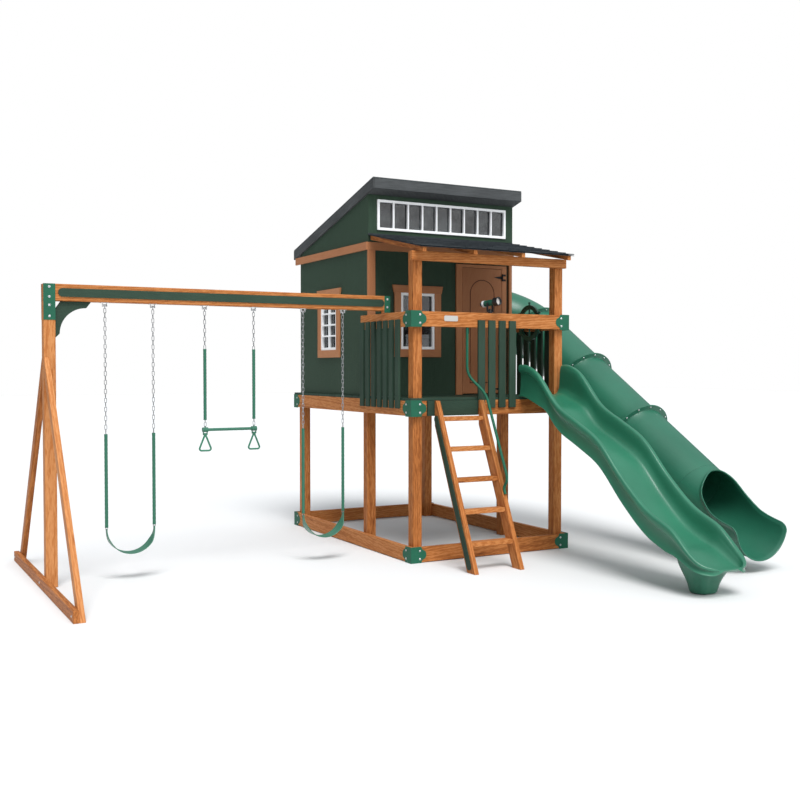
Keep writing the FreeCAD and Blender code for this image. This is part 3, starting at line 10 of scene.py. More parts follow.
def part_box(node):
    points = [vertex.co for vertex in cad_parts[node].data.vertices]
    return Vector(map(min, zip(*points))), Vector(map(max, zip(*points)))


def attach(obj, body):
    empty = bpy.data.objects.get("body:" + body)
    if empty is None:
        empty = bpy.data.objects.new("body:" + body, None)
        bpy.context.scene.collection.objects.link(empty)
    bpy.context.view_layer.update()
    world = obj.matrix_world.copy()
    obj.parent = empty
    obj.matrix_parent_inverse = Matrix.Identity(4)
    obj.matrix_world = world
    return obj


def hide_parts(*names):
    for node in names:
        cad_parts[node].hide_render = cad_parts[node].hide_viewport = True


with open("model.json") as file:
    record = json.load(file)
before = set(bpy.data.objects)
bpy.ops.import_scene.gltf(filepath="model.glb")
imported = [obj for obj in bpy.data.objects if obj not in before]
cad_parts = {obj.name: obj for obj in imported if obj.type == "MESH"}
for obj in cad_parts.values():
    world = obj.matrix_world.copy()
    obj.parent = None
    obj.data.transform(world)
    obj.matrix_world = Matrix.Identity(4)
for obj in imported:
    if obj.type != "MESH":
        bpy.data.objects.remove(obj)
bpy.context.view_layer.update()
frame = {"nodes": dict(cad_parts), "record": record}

# Metres, in the part's own frame.  Places on the set are given from the tower's front left
# corner: +X runs along the tower's front, +Y towards its back, +Z up from the ground.
CORNER = Vector(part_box("ground_rails")[0])
SLOTS = {row["node"]: row["material_slot"] for row in frame["record"]["subparts"]}
BODIES = {node: body for body, nodes in frame["record"]["behaviour"]["bodies"].items() for node in nodes}
X_AXIS = Vector((1, 0, 0))
Y_AXIS = Vector((0, 1, 0))
Z_AXIS = Vector((0, 0, 1))
chance = random.Random(7)


def tower(x, y, z):
    """A place given from the tower's front left corner."""
    return Vector((CORNER.x + x, CORNER.y + y, z))


# -- materials


class Surface:
    """A procedural material around one Principled shader."""

    def __init__(self, name, roughness, metallic=0.0, specular=0.5):
        self.material = bpy.data.materials.new(name)
        self.material.use_nodes = True
        self.tree = self.material.node_tree
        self.shader = self.tree.nodes["Principled BSDF"]
        self.constant("Roughness", roughness)
        self.constant("Metallic", metallic)
        self.constant("Specular IOR Level", specular)

    def constant(self, socket, value):
        self.shader.inputs[socket].default_value = value

    def node(self, kind, inputs=None, **settings):
        made = self.tree.nodes.new("ShaderNode" + kind)
        for key, value in settings.items():
            setattr(made, key, value)
        for key, value in (inputs or {}).items():
            if isinstance(value, bpy.types.NodeSocket):
                self.tree.links.new(value, made.inputs[key])
            else:
                made.inputs[key].default_value = value
        return made

    def link(self, source, socket):
        self.tree.links.new(source, self.shader.inputs[socket])

    def place(self):
        """Coordinates fixed to the piece, in metres."""
        return self.node("TexCoord").outputs["Object"]

    def board(self):
        """Coordinates along, across and through each board, in metres."""
        return self.node("Attribute", attribute_name="board").outputs["Vector"]

    def tone(self):
        """A number from 0 to 1 that differs from board to board."""
        return self.node("Attribute", attribute_name="tone").outputs["Fac"]

    def scaled(self, vector, scale):
        return self.node("Mapping", {"Vector": vector, "Scale": scale}).outputs["Vector"]

    def noise(self, vector, scale, detail=2.0, rough=0.5):
        settings = {"Vector": vector, "Scale": scale, "Detail": detail, "Roughness": rough}
        return self.node("TexNoise", settings).outputs["Fac"]

    def math(self, operation, first, second=0.0):
        return self.node("Math", {0: first, 1: second}, operation=operation).outputs[0]

    def weighed(self, *terms):
        """Sum of (value, weight) pairs."""
        total = None
        for value, weight in terms:
            part = self.math("MULTIPLY", value, weight)
            total = part if total is None else self.math("ADD", total, part)
        return total

    def ramp(self, factor, *stops):
        """Colour ramp through (position, colour) stops."""
        made = self.node("ValToRGB", {"Fac": factor})
        elements = made.color_ramp.elements
        while len(elements) < len(stops):
            elements.new(0.5)
        for element, (position, colour) in zip(elements, stops):
            element.position = position
            element.color = (*colour, 1.0)
        return made.outputs["Color"]

    def spread(self, factor, low, high):
        """A 0 to 1 value moved to the range from low to high."""
        settings = {"Value": factor, "To Min": low, "To Max": high}
        return self.node("MapRange", settings).outputs["Result"]

    def bump(self, height, distance, strength=1.0, below=None):
        settings = {"Height": height, "Distance": distance, "Strength": strength}
        if below:
            settings["Normal"] = below
        return self.node("Bump", settings).outputs["Normal"]


def shade(colour, factor):
    return tuple(min(1.0, channel * factor) for channel in colour)


def wood(name, dark, middle, light, roughness=0.52):
    """Stained timber: wandering growth rings, fine fibres, broad streaks and a few knots."""
    s = Surface(name, roughness, specular=0.1)
    board = s.board()
    slow = s.scaled(board, (0.16, 1.0, 1.0))
    rings = s.node(
        "TexWave",
        {"Vector": slow, "Scale": 15.0, "Distortion": 5.5, "Detail": 2.0, "Detail Scale": 5.0},
        wave_type="RINGS",
        rings_direction="X",
    ).outputs["Fac"]
    fibres = s.noise(s.scaled(board, (5.0, 190.0, 190.0)), 1.0, 4.0, 0.6)
    streaks = s.noise(s.scaled(board, (0.9, 22.0, 22.0)), 1.0, 3.0)
    cells = s.node(
        "TexVoronoi", {"Vector": s.scaled(board, (2.0, 9.0, 9.0)), "Scale": 1.0}
    ).outputs["Distance"]
    knots = s.node("MapRange", {"Value": cells, "From Min": 0.02, "From Max": 0.13}).outputs["Result"]
    value = s.weighed((rings, 0.2), (fibres, 0.46), (streaks, 0.26), (s.tone(), 0.2))
    value = s.math("SUBTRACT", value, 0.06)
    value = s.math("MULTIPLY", value, s.spread(knots, 0.45, 1.0))
    colour = s.ramp(value, (0.18, dark), (0.47, middle), (0.78, light))
    s.link(colour, "Base Color")
    s.link(s.spread(fibres, roughness + 0.1, roughness - 0.1), "Roughness")
    relief = s.weighed((fibres, 0.7), (rings, 0.3))
    s.link(s.bump(relief, 0.0016, 0.6), "Normal")
    return s.material


def painted_board(name, colour, light, roughness=0.6):
    """Painted or composite board: an embossed grain under an even coat."""
    s = Surface(name, roughness, specular=0.2)
    board = s.board()
    grain = s.noise(s.scaled(board, (7.0, 130.0, 130.0)), 1.0, 4.0, 0.65)
    patches = s.noise(board, 3.0, 3.0)
    speckle = s.noise(board, 420.0, 2.0)
    value = s.weighed((grain, 0.4), (patches, 0.3), (speckle, 0.25), (s.tone(), 0.2))
    s.link(s.ramp(value, (0.28, colour), (0.8, light)), "Base Color")
    s.link(s.spread(grain, roughness + 0.12, roughness - 0.08), "Roughness")
    s.link(s.bump(s.weighed((grain, 0.8), (speckle, 0.3)), 0.0018, 0.7), "Normal")
    return s.material


def siding(name, colour, light):
    """Painted siding panels: a stippled face with a soft upright grain."""
    s = Surface(name, 0.62, specular=0.15)
    place = s.place()
    upright = s.noise(s.scaled(place, (70.0, 70.0, 7.0)), 1.0, 4.0, 0.6)
    stipple = s.noise(place, 150.0, 3.0, 0.75)
    patches = s.noise(place, 1.6, 3.0)
    value = s.weighed((upright, 0.2), (stipple, 0.8), (patches, 0.1))
    s.link(s.ramp(value, (0.36, colour), (0.74, light)), "Base Color")
    s.link(s.spread(stipple, 0.72, 0.5), "Roughness")
    s.link(s.bump(s.weighed((upright, 0.4), (stipple, 0.8)), 0.0028, 0.8), "Normal")
    return s.material


def plastic(name, colour, roughness=0.33, mottle=0.12, coat=0.15):
    """Moulded plastic: a faint orange peel, cloudy colour and fine scuffs."""
    s = Surface(name, roughness)
    place = s.place()
    clouds = s.noise(place, 2.3, 4.0)
    peel = s.noise(place, 75.0, 2.0)
    scuffs = s.noise(s.scaled(place, (60.0, 5.0, 60.0)), 1.0, 4.0, 0.6)
    value = s.weighed((clouds, 0.8), (scuffs, 0.2))
    s.link(s.ramp(value, (0.3, shade(colour, 1 - mottle)), (0.7, shade(colour, 1 + mottle))), "Base Color")
    s.link(s.spread(scuffs, roughness - 0.07, roughness + 0.12), "Roughness")
    s.link(s.bump(peel, 0.0011, 0.35), "Normal")
    s.constant("Coat Weight", coat)
    s.constant("Coat Roughness", 0.2)
    return s.material


def powder_coat(name, colour, roughness=0.4):
    """Powder-coated steel: a fine even pebble."""
    s = Surface(name, roughness, specular=0.2)
    place = s.place()
    pebble = s.noise(place, 520.0, 2.0)
    clouds = s.noise(place, 6.0, 3.0)
    value = s.weighed((pebble, 0.5), (clouds, 0.5))
    s.link(s.ramp(value, (0.35, shade(colour, 0.85)), (0.65, shade(colour, 1.15))), "Base Color")
    s.link(s.spread(pebble, roughness - 0.08, roughness + 0.1), "Roughness")
    s.link(s.bump(pebble, 0.0007, 0.5), "Normal")
    return s.material


def zinc(name, colour, roughness=0.3):
    """Zinc-plated steel with dull patches."""
    s = Surface(name, roughness, metallic=1.0)
    place = s.place()
    patches = s.noise(place, 55.0, 4.0, 0.6)
    s.link(s.ramp(patches, (0.3, shade(colour, 0.72)), (0.7, colour)), "Base Color")
    s.link(s.spread(patches, roughness + 0.16, roughness - 0.06), "Roughness")
    s.link(s.bump(patches, 0.0004, 0.4), "Normal")
    return s.material


def roofing(name, dark, light):
    """Mineral roofing: coarse granules over patchy asphalt."""
    s = Surface(name, 0.82, specular=0.15)
    place = s.place()
    grains = s.node("TexVoronoi", {"Vector": place, "Scale": 330.0}).outputs["Color"]
    grain_tone = s.node("SeparateColor", {"Color": grains}).outputs["Red"]
    patches = s.noise(place, 9.0, 4.0, 0.6)
    flecks = s.noise(s.scaled(place, (34.0, 34.0, 70.0)), 1.0, 3.0, 0.7)
    value = s.weighed((grain_tone, 0.26), (patches, 0.2), (flecks, 0.34), (s.tone(), 0.22))
    s.link(s.ramp(value, (0.25, dark), (0.75, light)), "Base Color")
    relief = s.noise(place, 300.0, 2.0)
    s.link(s.bump(relief, 0.0022, 0.7), "Normal")
    return s.material


def glass(name):
    """Smoked pane with a slight waviness, and lighter cloudy patches in its colour as a painted reflection of
    clouds.
    """
    s = Surface(name, 0.03, specular=0.4)
    # painted reflection: this noise spreads the pane's colour from dark to pale grey in cloud-like patches
    clouds = s.noise(s.place(), 4.0, 3.0, 0.6)
    s.link(s.ramp(clouds, (0.35, (0.04, 0.046, 0.05)), (0.68, (0.30, 0.33, 0.35))), "Base Color")
    s.constant("Transmission Weight", 0.9)
    s.constant("IOR", 1.5)
    waves = s.noise(s.place(), 5.0, 1.0)
    s.link(s.bump(waves, 0.004, 0.12), "Normal")
    return s.material


CEDAR_DARK = (0.160, 0.045, 0.012)
CEDAR = (0.410, 0.143, 0.038)
CEDAR_LIGHT = (0.590, 0.268, 0.102)
GREEN_BOARD = (0.011, 0.027, 0.017)
GREEN_PAINT = (0.017, 0.035, 0.021)
SLIDE_GREEN = (0.020, 0.150, 0.085)
BRACKET_GREEN = (0.013, 0.105, 0.060)

MATERIALS = {
    "cedar": wood("cedar_stained_timber", CEDAR_DARK, CEDAR, CEDAR_LIGHT),
    "inner_wood": wood(
        "framing_timber", (0.25, 0.13, 0.06), (0.46, 0.29, 0.15), (0.62, 0.44, 0.26), 0.7
    ),
    "brown_trim": painted_board("brown_trim_paint", (0.33, 0.125, 0.050), (0.47, 0.210, 0.098), 0.55),
    "green_board": painted_board("green_board_paint", GREEN_BOARD, (0.032, 0.064, 0.043)),
    "green_siding": siding("green_siding_paint", GREEN_PAINT, (0.042, 0.077, 0.050)),
    "door_brown": painted_board("door_skin", (0.28, 0.105, 0.042), (0.40, 0.170, 0.076), 0.5),
    "roof_charcoal": roofing("charcoal_roofing", (0.026, 0.030, 0.032), (0.118, 0.129, 0.133)),
    "shingle_dark": roofing("dark_shingle", (0.010, 0.013, 0.016), (0.052, 0.061, 0.068)),
    "green_steel": powder_coat("green_powder_coat", BRACKET_GREEN, 0.48),
    "zinc": zinc("zinc_plate", (0.72, 0.73, 0.74)),
    "green_plastic": plastic("green_slide_plastic", SLIDE_GREEN),
    "green_grip": plastic("green_vinyl_grip", (0.016, 0.125, 0.072), 0.42, 0.08, 0.05),
    "white_vinyl": plastic("white_window_vinyl", (0.90, 0.91, 0.92), 0.4, 0.02, 0.0),
    "glass": glass("window_pane"),
    "black_metal": powder_coat("black_hinge_paint", (0.010, 0.010, 0.010), 0.45),
    "wheel_green": plastic("dark_green_plastic", (0.010, 0.080, 0.050), 0.36, 0.1),
    "black_plastic": plastic("black_plastic", (0.008, 0.008, 0.009), 0.35, 0.1),
    "plate_grey": plastic("pale_plate", (0.43, 0.42, 0.40), 0.4, 0.08),
}
ROOF_EDGE = painted_board("roof_edge_paint", (0.015, 0.017, 0.018), (0.112, 0.120, 0.124))
TUBE_PLASTIC = plastic("green_tube_plastic", (0.016, 0.124, 0.073), 0.38, coat=0.06)
CHAIN = zinc("galvanised_chain", (0.46, 0.47, 0.48), 0.24)
WHITE_BAND = plastic("white_band", (0.78, 0.80, 0.80), 0.35, 0.03)
# painted shade: a dark brown for the door's groove faces, standing in for the shadow inside the recess
GROOVE_SHADE = painted_board("door_groove_painted_shade", (0.030, 0.012, 0.006), (0.060, 0.026, 0.014))
LENS = plastic("pale_lens", (0.62, 0.58, 0.55), 0.16, 0.1, 0.5)


# -- meshes


def solids_of(node):
    """The closed solids of a CAD node, each a list of triangles given by their corner points."""
    mesh = frame["nodes"][node].data
    points = [tuple(round(c, 6) for c in vertex.co) for vertex in mesh.vertices]
    unmatched = {}
    solids = []
    current = []
    for face in mesh.polygons:
        corners = [points[i] for i in face.vertices]
        if len(set(corners)) < 3:
            continue
        current.append(corners)
        for start, end in zip(corners, corners[1:] + corners[:1]):
            if unmatched.get((end, start)):
                unmatched[end, start] -= 1
                if not unmatched[end, start]:
                    del unmatched[end, start]
            else:
                unmatched[start, end] = unmatched.get((start, end), 0) + 1
        if not unmatched:
            solids.append(current)
            current = []
    if current:
        solids.append(current)
    return solids


def extent(triangles):
    """Lowest and highest corner of a solid."""
    points = [corner for corners in triangles for corner in corners]
    low = Vector([min(p[k] for p in points) for k in range(3)])
    high = Vector([max(p[k] for p in points) for k in range(3)])
    return low, high


def clean_solid(triangles):
    """One solid with its flat faces whole."""
    bm = bmesh.new()
    seen = {}
    for corners in triangles:
        for corner in corners:
            if corner not in seen:
                seen[corner] = bm.verts.new(corner)
        try:
            bm.faces.new([seen[corner] for corner in corners])
        except ValueError:
            continue
    flat = math.radians(0.5)
    bmesh.ops.dissolve_limit(bm, angle_limit=flat, verts=bm.verts[:], edges=bm.edges[:])
    return bm


def board_axes(bm):
    """Directions along, across and through a board."""
    spans = [edge.verts[1].co - edge.verts[0].co for edge in bm.edges]
    along = max(spans, key=lambda span: span.length).normalized()
    sideways = [span - along * span.dot(along) for span in spans]
    across = max(sideways, key=lambda span: span.length).normalized()
    return along, across, along.cross(across)


class Builder:
    """One mesh put together from many solids, with board coordinates and a tone for each."""

    def __init__(self, name):
        self.name = name
        self.bm = bmesh.new()
        self.board = self.bm.verts.layers.float_vector.new("board")
        self.tone = self.bm.verts.layers.float.new("tone")

    def add(self, bm, axes=None, material=0, smooth=False):
        """Take in a solid and free it; with no material given, its faces keep their own."""
        along, across, through = axes or (X_AXIS, Y_AXIS, Z_AXIS)
        shift = Vector([chance.uniform(-4, 4), chance.uniform(-0.06, 0.06), chance.uniform(0.02, 0.1)])
        tone = chance.random()
        made = {}
        for vert in bm.verts:
            copy = self.bm.verts.new(vert.co)
            at = Vector((vert.co.dot(along), vert.co.dot(across), vert.co.dot(through)))
            made[vert] = (copy, at)
        middle = sum((at for _, at in made.values()), Vector()) / max(1, len(made))
        for copy, at in made.values():
            copy[self.board] = at - middle + shift
            copy[self.tone] = tone
        for face in bm.faces:
            try:
                copy = self.bm.faces.new([made[vert][0] for vert in face.verts])
            except ValueError:
                continue
            copy.material_index = face.material_index if material is None else material
            copy.smooth = smooth
        bm.free()

    def finish(self, materials, body, nodes=(), sharp=None, subdivide=0):
        """Make the object, put it on its body and let it stand for its CAD nodes."""
        mesh = bpy.data.meshes.new(self.name)
        bmesh.ops.recalc_face_normals(self.bm, faces=self.bm.faces[:])
        self.bm.to_mesh(mesh)
        self.bm.free()
        if sharp is not None:
            mesh.set_sharp_from_angle(angle=math.radians(sharp))
        for material in materials:
            mesh.materials.append(material)
        obj = bpy.data.objects.new(self.name, mesh)
        bpy.context.scene.collection.objects.link(obj)
        if subdivide:
            modifier = obj.modifiers.new("subdivision", "SUBSURF")
            modifier.levels = subdivide
            modifier.render_levels = subdivide
        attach(obj, body)
        if nodes:
            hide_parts(*nodes)
        return obj


def sharp_edges(bm, angle):
    limit = math.radians(angle)
    return [e for e in bm.edges if e.is_manifold and e.calc_face_angle(0) > limit]


def ease(bm, width, segments=2, angle=40):
    """Round the sharp edges of a solid."""
    edges = sharp_edges(bm, angle)
    if edges:
        bmesh.ops.bevel(
            bm,
            geom=edges,
            offset=width,
            offset_type="OFFSET",
            segments=segments,
            profile=0.5,
            affect="EDGES",
            clamp_overlap=True,
        )


def boards(node, easing=0.003, material=None):
    """A node made of boards: each gets eased edges and its own grain."""
    build = Builder(node + "_boards")
    for triangles in solids_of(node):
        bm = clean_solid(triangles)
        axes = board_axes(bm)
        ease(bm, easing)
        build.add(bm, axes)
    return build.finish([material or MATERIALS[SLOTS[node]]], BODIES[node], (node,))


def turned(node, easing=0.001, materials=None, pick=None, sharp=38):
    """A node with round shapes: smooth faces and slightly rounded rims."""
    build = Builder(node + "_piece")
    for index, triangles in enumerate(solids_of(node)):
        bm = clean_solid(triangles)
        axes = board_axes(bm)
        if easing:
            ease(bm, easing, 1, sharp + 10)
        build.add(bm, axes, pick(index) if pick else 0, smooth=True)
    return build.finish(materials or [MATERIALS[SLOTS[node]]], BODIES[node], (node,), sharp=sharp)


def slab(size, matrix, easing=0.0):
    """Box with its low corner at the matrix's zero point."""
    bm = bmesh.new()
    bmesh.ops.create_cube(bm, size=1.0, matrix=Matrix.Translation((0.5, 0.5, 0.5)))
    bmesh.ops.scale(bm, vec=size, verts=bm.verts[:])
    if easing:
        ease(bm, easing, 1)
    bmesh.ops.transform(bm, matrix=matrix, verts=bm.verts[:])
    return bm


def lofted(rings, closed=True):
    """Quads between neighbouring rings of points; closed joins the last ring to the first."""
    bm = bmesh.new()
    rows = [[bm.verts.new(point) for point in ring] for ring in rings]
    pairs = list(zip(rows, rows[1:]))
    if closed:
        pairs.append((rows[-1], rows[0]))
    for low, high in pairs:
        for k in range(len(low)):
            after = (k + 1) % len(low)
            bm.faces.new((low[k], low[after], high[after], high[k]))
    return bm, rows


def smooth_through(points, at):
    """Height at a place on a smooth curve through (place, height) points."""
    last = len(points) - 2
    k = min(last, max(0, sum(1 for place, _ in points[1:-1] if place <= at)))
    (x0, z0), (x1, z1) = points[k], points[k + 1]

    def slope(i):
        before = points[max(0, i - 1)]
        after = points[min(len(points) - 1, i + 1)]
        return (after[1] - before[1]) / (after[0] - before[0])

    span = x1 - x0
    u = (at - x0) / span
    rise = slope(k) * span
    fall = slope(k + 1) * span
    u2 = u * u
    u3 = u2 * u
    return (2 * u3 - 3 * u2 + 1) * z0 + (u3 - 2 * u2 + u) * rise + (3 * u2 - 2 * u3) * z1 + (u3 - u2) * fall


# -- timber and panels


def make_timber():
    for node in ("tower_posts", "swing_post", "swing_beam"):
        boards(node, 0.006)
    rails = ("ground_rails", "deck_frame", "top_rails", "header_beam", "ladder_stringers")
    for node in rails + ("ladder_treads", "porch_rafters", "a_frame"):
        boards(node, 0.004)
    boards("cabin_framing", 0.002)
    for node in ("balusters", "deck_boards", "ladder_green_boards"):
        boards(node, 0.003)
    boards("beam_inlay", 0.002)
    boards("beam_gusset", 0.003)


def make_cabin():
    for node in ("left", "right", "front", "rear"):
        boards(f"cabin_{node}_wall", 0.001)
    boards("clerestory_wall", 0.001)
    for node in ("cabin_trim", "window_trims", "door_frame"):
        boards(node, 0.003)
    boards("roof_fascia", 0.003, ROOF_EDGE)
    boards("window_frames", 0.002)
    boards("window_glass", 0.0005)
    make_door_panel()


def make_door_panel():
    """The door's skin, with painted shade: a darker colour on the faces of its arched groove."""
    groove_depth = 0.0055
    build = Builder("door_panel_skin")
    for triangles in solids_of("door_panel"):
        bm = clean_solid(triangles)
        axes = board_axes(bm)
        front = min(vert.co.y for vert in bm.verts)
        for face in bm.faces:
            sunk = face.calc_center_median().y - front
            # painted shade: the groove's sunk faces take the darker colour
            face.material_index = 1 if 0.0005 < sunk < groove_depth else 0
        ease(bm, 0.0015)
        build.add(bm, axes, None)
    build.finish([MATERIALS["door_brown"], GROOVE_SHADE], BODIES["door_panel"], ("door_panel",))


def shingle_courses(build, corner, across, upslope, wide, deep, course, tab_wide, thick):
    """Overlapping shingles from the low edge of a roof plane upwards."""
    normal = across.cross(upslope)
    count = math.ceil(deep / course)
    for k in range(count):
        start = k * course
        reach = min(course * 1.12, deep - start)
        lean = thick / (course * 1.12)
        ahead = (upslope - normal * lean).normalized()
        over = across.cross(ahead)
        turn = Matrix((across, ahead, over)).transposed().to_4x4()
        left = -tab_wide * (0.5 if k % 2 else 0.0) - chance.uniform(0, 0.04)
        while left < wide:
            low = max(0.0, left)
            high = min(wide, left + tab_wide - 0.004)
            left += tab_wide
            if high - low < 0.02:
                continue
            at = corner + across * low + upslope * (start + chance.uniform(0, 0.003)) + normal * thick
            tab = slab((high - low, reach, thick), Matrix.Translation(at) @ turn, 0.0015)
            build.add(tab, (across, upslope, normal))


def make_porch_roof():
    low, high = (Vector(v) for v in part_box("porch_roof"))
    thick = 0.012
    deep = high.y - low.y
    upslope = Vector((0, deep, high.z - low.z - thick))
    build = Builder("porch_roof_shingles")
    base = slab((high.x - low.x, upslope.length, 0.005), slope_matrix(low, upslope), 0.001)
    build.add(base, (X_AXIS, upslope.normalized(), Z_AXIS))
    course = 0.135
    tab = 0.24
    start = low + Z_AXIS * 0.003
    ahead = upslope.normalized()
    shingle_courses(build, start, X_AXIS, ahead, high.x - low.x, upslope.length, course, tab, 0.009)
    build.finish([MATERIALS["shingle_dark"]], BODIES["porch_roof"], ("porch_roof",))


def slope_matrix(corner, upslope):
    """Matrix of a plane that starts at a corner, runs along +X and climbs a slope."""
    ahead = upslope.normalized()
    turn = Matrix((X_AXIS, ahead, X_AXIS.cross(ahead))).transposed().to_4x4()
    return Matrix.Translation(corner) @ turn


def make_cabin_roof():
    """The roof plane climbs from the rear to the front, so its courses run from the rear edge."""
    low, high = (Vector(v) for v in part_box("cabin_roof"))
    thick = 0.022
    edge = 0.012
    # the panel's square edge leans out past its foot, so its foot stands in from the rear
    lean = 0.006
    upslope = Vector((0, low.y - high.y + lean, high.z - low.z - thick))
    corner = Vector((high.x, high.y - lean, low.z))
    across = -X_AXIS
    ahead = upslope.normalized()
    turn = Matrix((across, ahead, across.cross(ahead))).transposed().to_4x4()
    build = Builder("cabin_roof_cover")
    panel = slab((high.x - low.x, upslope.length, 0.0145), Matrix.Translation(corner) @ turn, 0.003)
    build.add(panel, (X_AXIS, ahead, Z_AXIS))
    start = corner + across * edge + ahead * edge + across.cross(ahead) * 0.0125
    wide = high.x - low.x - 2 * edge
    deep = upslope.length - 2 * edge
    course = 0.14
    tab = 0.3
    shingle_courses(build, start, across, ahead, wide, deep, course, tab, 0.0035)
    build.finish([MATERIALS["roof_charcoal"]], BODIES["cabin_roof"], ("cabin_roof",))


# -- wave slide


# side profile of the rims: distance forwards of the tower, height
SLIDE_RIMS = (
    (0.0, 1.836),
    (0.11, 1.832),
    (0.3, 1.747),
    (0.6, 1.463),
    (0.9, 1.319),
    (1.2, 1.166),
    (1.5, 0.880),
    (1.8, 0.647),
    (2.1, 0.515),
    (2.2, 0.435),
    (2.3, 0.348),
    (2.4, 0.280),
    (2.475, 0.245),
)
SLIDE_X = 1.465
SLIDE_HALF = 0.28
SLIDE_END = 2.475
NOSE_START = 2.05
TAPER_START = 2.2
LIP_START = 2.415
DECK = 1.524


def smooth_step(value, start, end):
    share = min(1.0, max(0.0, (value - start) / (end - start)))
    return share * share * (3 - 2 * share)


def slide_levels(forward):
    """Half width, rim, bed and skirt heights of the slide at a distance forwards."""
    nose = min(1.0, max(0.0, (forward - NOSE_START) / (SLIDE_END - NOSE_START)))
    taper = min(1.0, max(0.0, (forward - TAPER_START) / (SLIDE_END - TAPER_START)))
    half = SLIDE_HALF * (1 - 0.5 * taper ** 4)
    rim = smooth_through(SLIDE_RIMS, forward)
    shelf = DECK + 0.018 - max(0.0, forward - 0.09) * 0.35
    bed = min(shelf, rim - 0.19 * (1 - 0.82 * nose))
    skirt = min(max(rim - 0.225 * (1 - 0.80 * nose), bed - 0.06), bed - 0.02)
    bed += (rim - 0.006 - bed) * smooth_step(forward, LIP_START, SLIDE_END)
    return half, rim, bed, skirt


def slide_half_section(forward):
    """Outer and inner halves of the slide's section, from the middle out to the rim's top."""
    half, rim, bed, skirt = slide_levels(forward)
    wall = min(1.0, (rim - skirt) / 0.2)
    bowl = min(1.0, (rim - bed) / 0.16)
    n = half / SLIDE_HALF
    floor = min(bed - 0.016, skirt + 0.05)
    outer = [
        (0.0, floor),
        (half * 0.18, floor),
        (half * 0.36, floor),
        (half - 0.115 * n, floor - 0.001),
        (half - 0.060 * n, skirt + 0.010 * wall),
        (half - 0.034 * n, skirt),
        (half - 0.014 * n, skirt + 0.001),
        (half - 0.009 * n, skirt + 0.012 * wall),
        (half - 0.022 * n, skirt + 0.034 * wall),
        (half - 0.030 * n, rim - 0.100 * wall),
        (half - 0.026 * n, rim - 0.078 * wall),
        (half - 0.004, rim - 0.068 * wall),
        (half, rim - 0.056 * wall),
        (half - 0.001, rim - 0.014 * wall),
    ]
    inner = [
        (0.0, bed),
        (half * 0.18, bed),
        (half * 0.36, bed),
        (half - 0.140 * n, bed + 0.001),
        (half - 0.112 * n, bed + 0.007 * bowl),
        (half - 0.096 * n, bed + 0.018 * bowl),
        (half - 0.084 * n, bed + 0.036 * bowl),
        (half - 0.075 * n, bed + 0.058 * bowl),
        (half - 0.068 * n, bed + 0.082 * bowl),
        (half - 0.062 * n, rim - 0.064 * bowl),
        (half - 0.057 * n, rim - 0.040 * bowl),
        (half - 0.051 * n, rim - 0.020 * bowl),
        (half - 0.045 * n, rim - 0.009 * bowl),
        (half - 0.036 * n, rim - 0.002),
    ]
    return outer, inner, (half - 0.014 * n, rim)


def slide_ring(forward, squeeze=0.0):
    """Closed section of the slide; squeeze draws its outer and inner faces together."""
    outer, inner, top = slide_half_section(forward)
    pairs = list(zip(outer, inner))
    outer = [mixed(a, b, squeeze / 2) for a, b in pairs]
    inner = [mixed(b, a, squeeze / 2) for a, b in pairs]
    right = outer + [top] + inner[::-1]
    left = [(-u, v) for u, v in inner[1:]] + [(-top[0], top[1])] + [(-u, v) for u, v in outer[:0:-1]]
    return [tower(SLIDE_X + u, -0.002 - forward, v) for u, v in right + left]


def mixed(a, b, share):
    return tuple(p + (q - p) * share for p, q in zip(a, b))


def make_wave_slide():
    stations = [0.0, 0.006, 0.03] + [0.06 * k for k in range(1, 40)]
    stations += [2.37, 2.395, 2.415, 2.43, 2.442, 2.452]
    rings = [slide_ring(forward) for forward in stations]
    rings.append(slide_ring(2.4615, 0.2))
    rings.append(slide_ring(2.469, 0.5))
    rings.append(slide_ring(2.4735, 0.85))
    bm, rows = lofted(rings, closed=False)
    half = len(slide_half_section(0.0)[0])
    for row, flip in ((rows[0], False), (rows[-1], True)):
        count = len(row)
        for k in range(-half, half):
            outer_now = row[k % count]
            outer_next = row[(k + 1) % count]
            inner_now = row[(2 * half - k) % count]
            inner_next = row[(2 * half - k - 1) % count]
            corners = []
            for vert in (outer_now, outer_next, inner_next, inner_now):
                if vert not in corners:
                    corners.append(vert)
            if len(corners) > 2:
                try:
                    bm.faces.new(corners[::-1] if flip else corners)
                except ValueError:
                    continue
    build = Builder("wave_slide_shell")
    build.add(bm, smooth=True)
    build.finish([MATERIALS["green_plastic"]], BODIES["wave_slide"], ("wave_slide",), subdivide=2)


# the foot's outline: height, half width across, front, back
FOOT_LEVELS = (
    (0.0, 0.098, -2.262, -2.098),
    (0.008, 0.107, -2.272, -2.088),
    (0.05, 0.115, -2.285, -2.082),
    (0.10, 0.134, -2.300, -2.070),
    (0.15, 0.162, -2.328, -2.052),
    (0.20, 0.192, -2.365, -2.035),
    (0.25, 0.212, -2.400, -2.015),
    (0.34, 0.224, -2.425, -1.990),
)


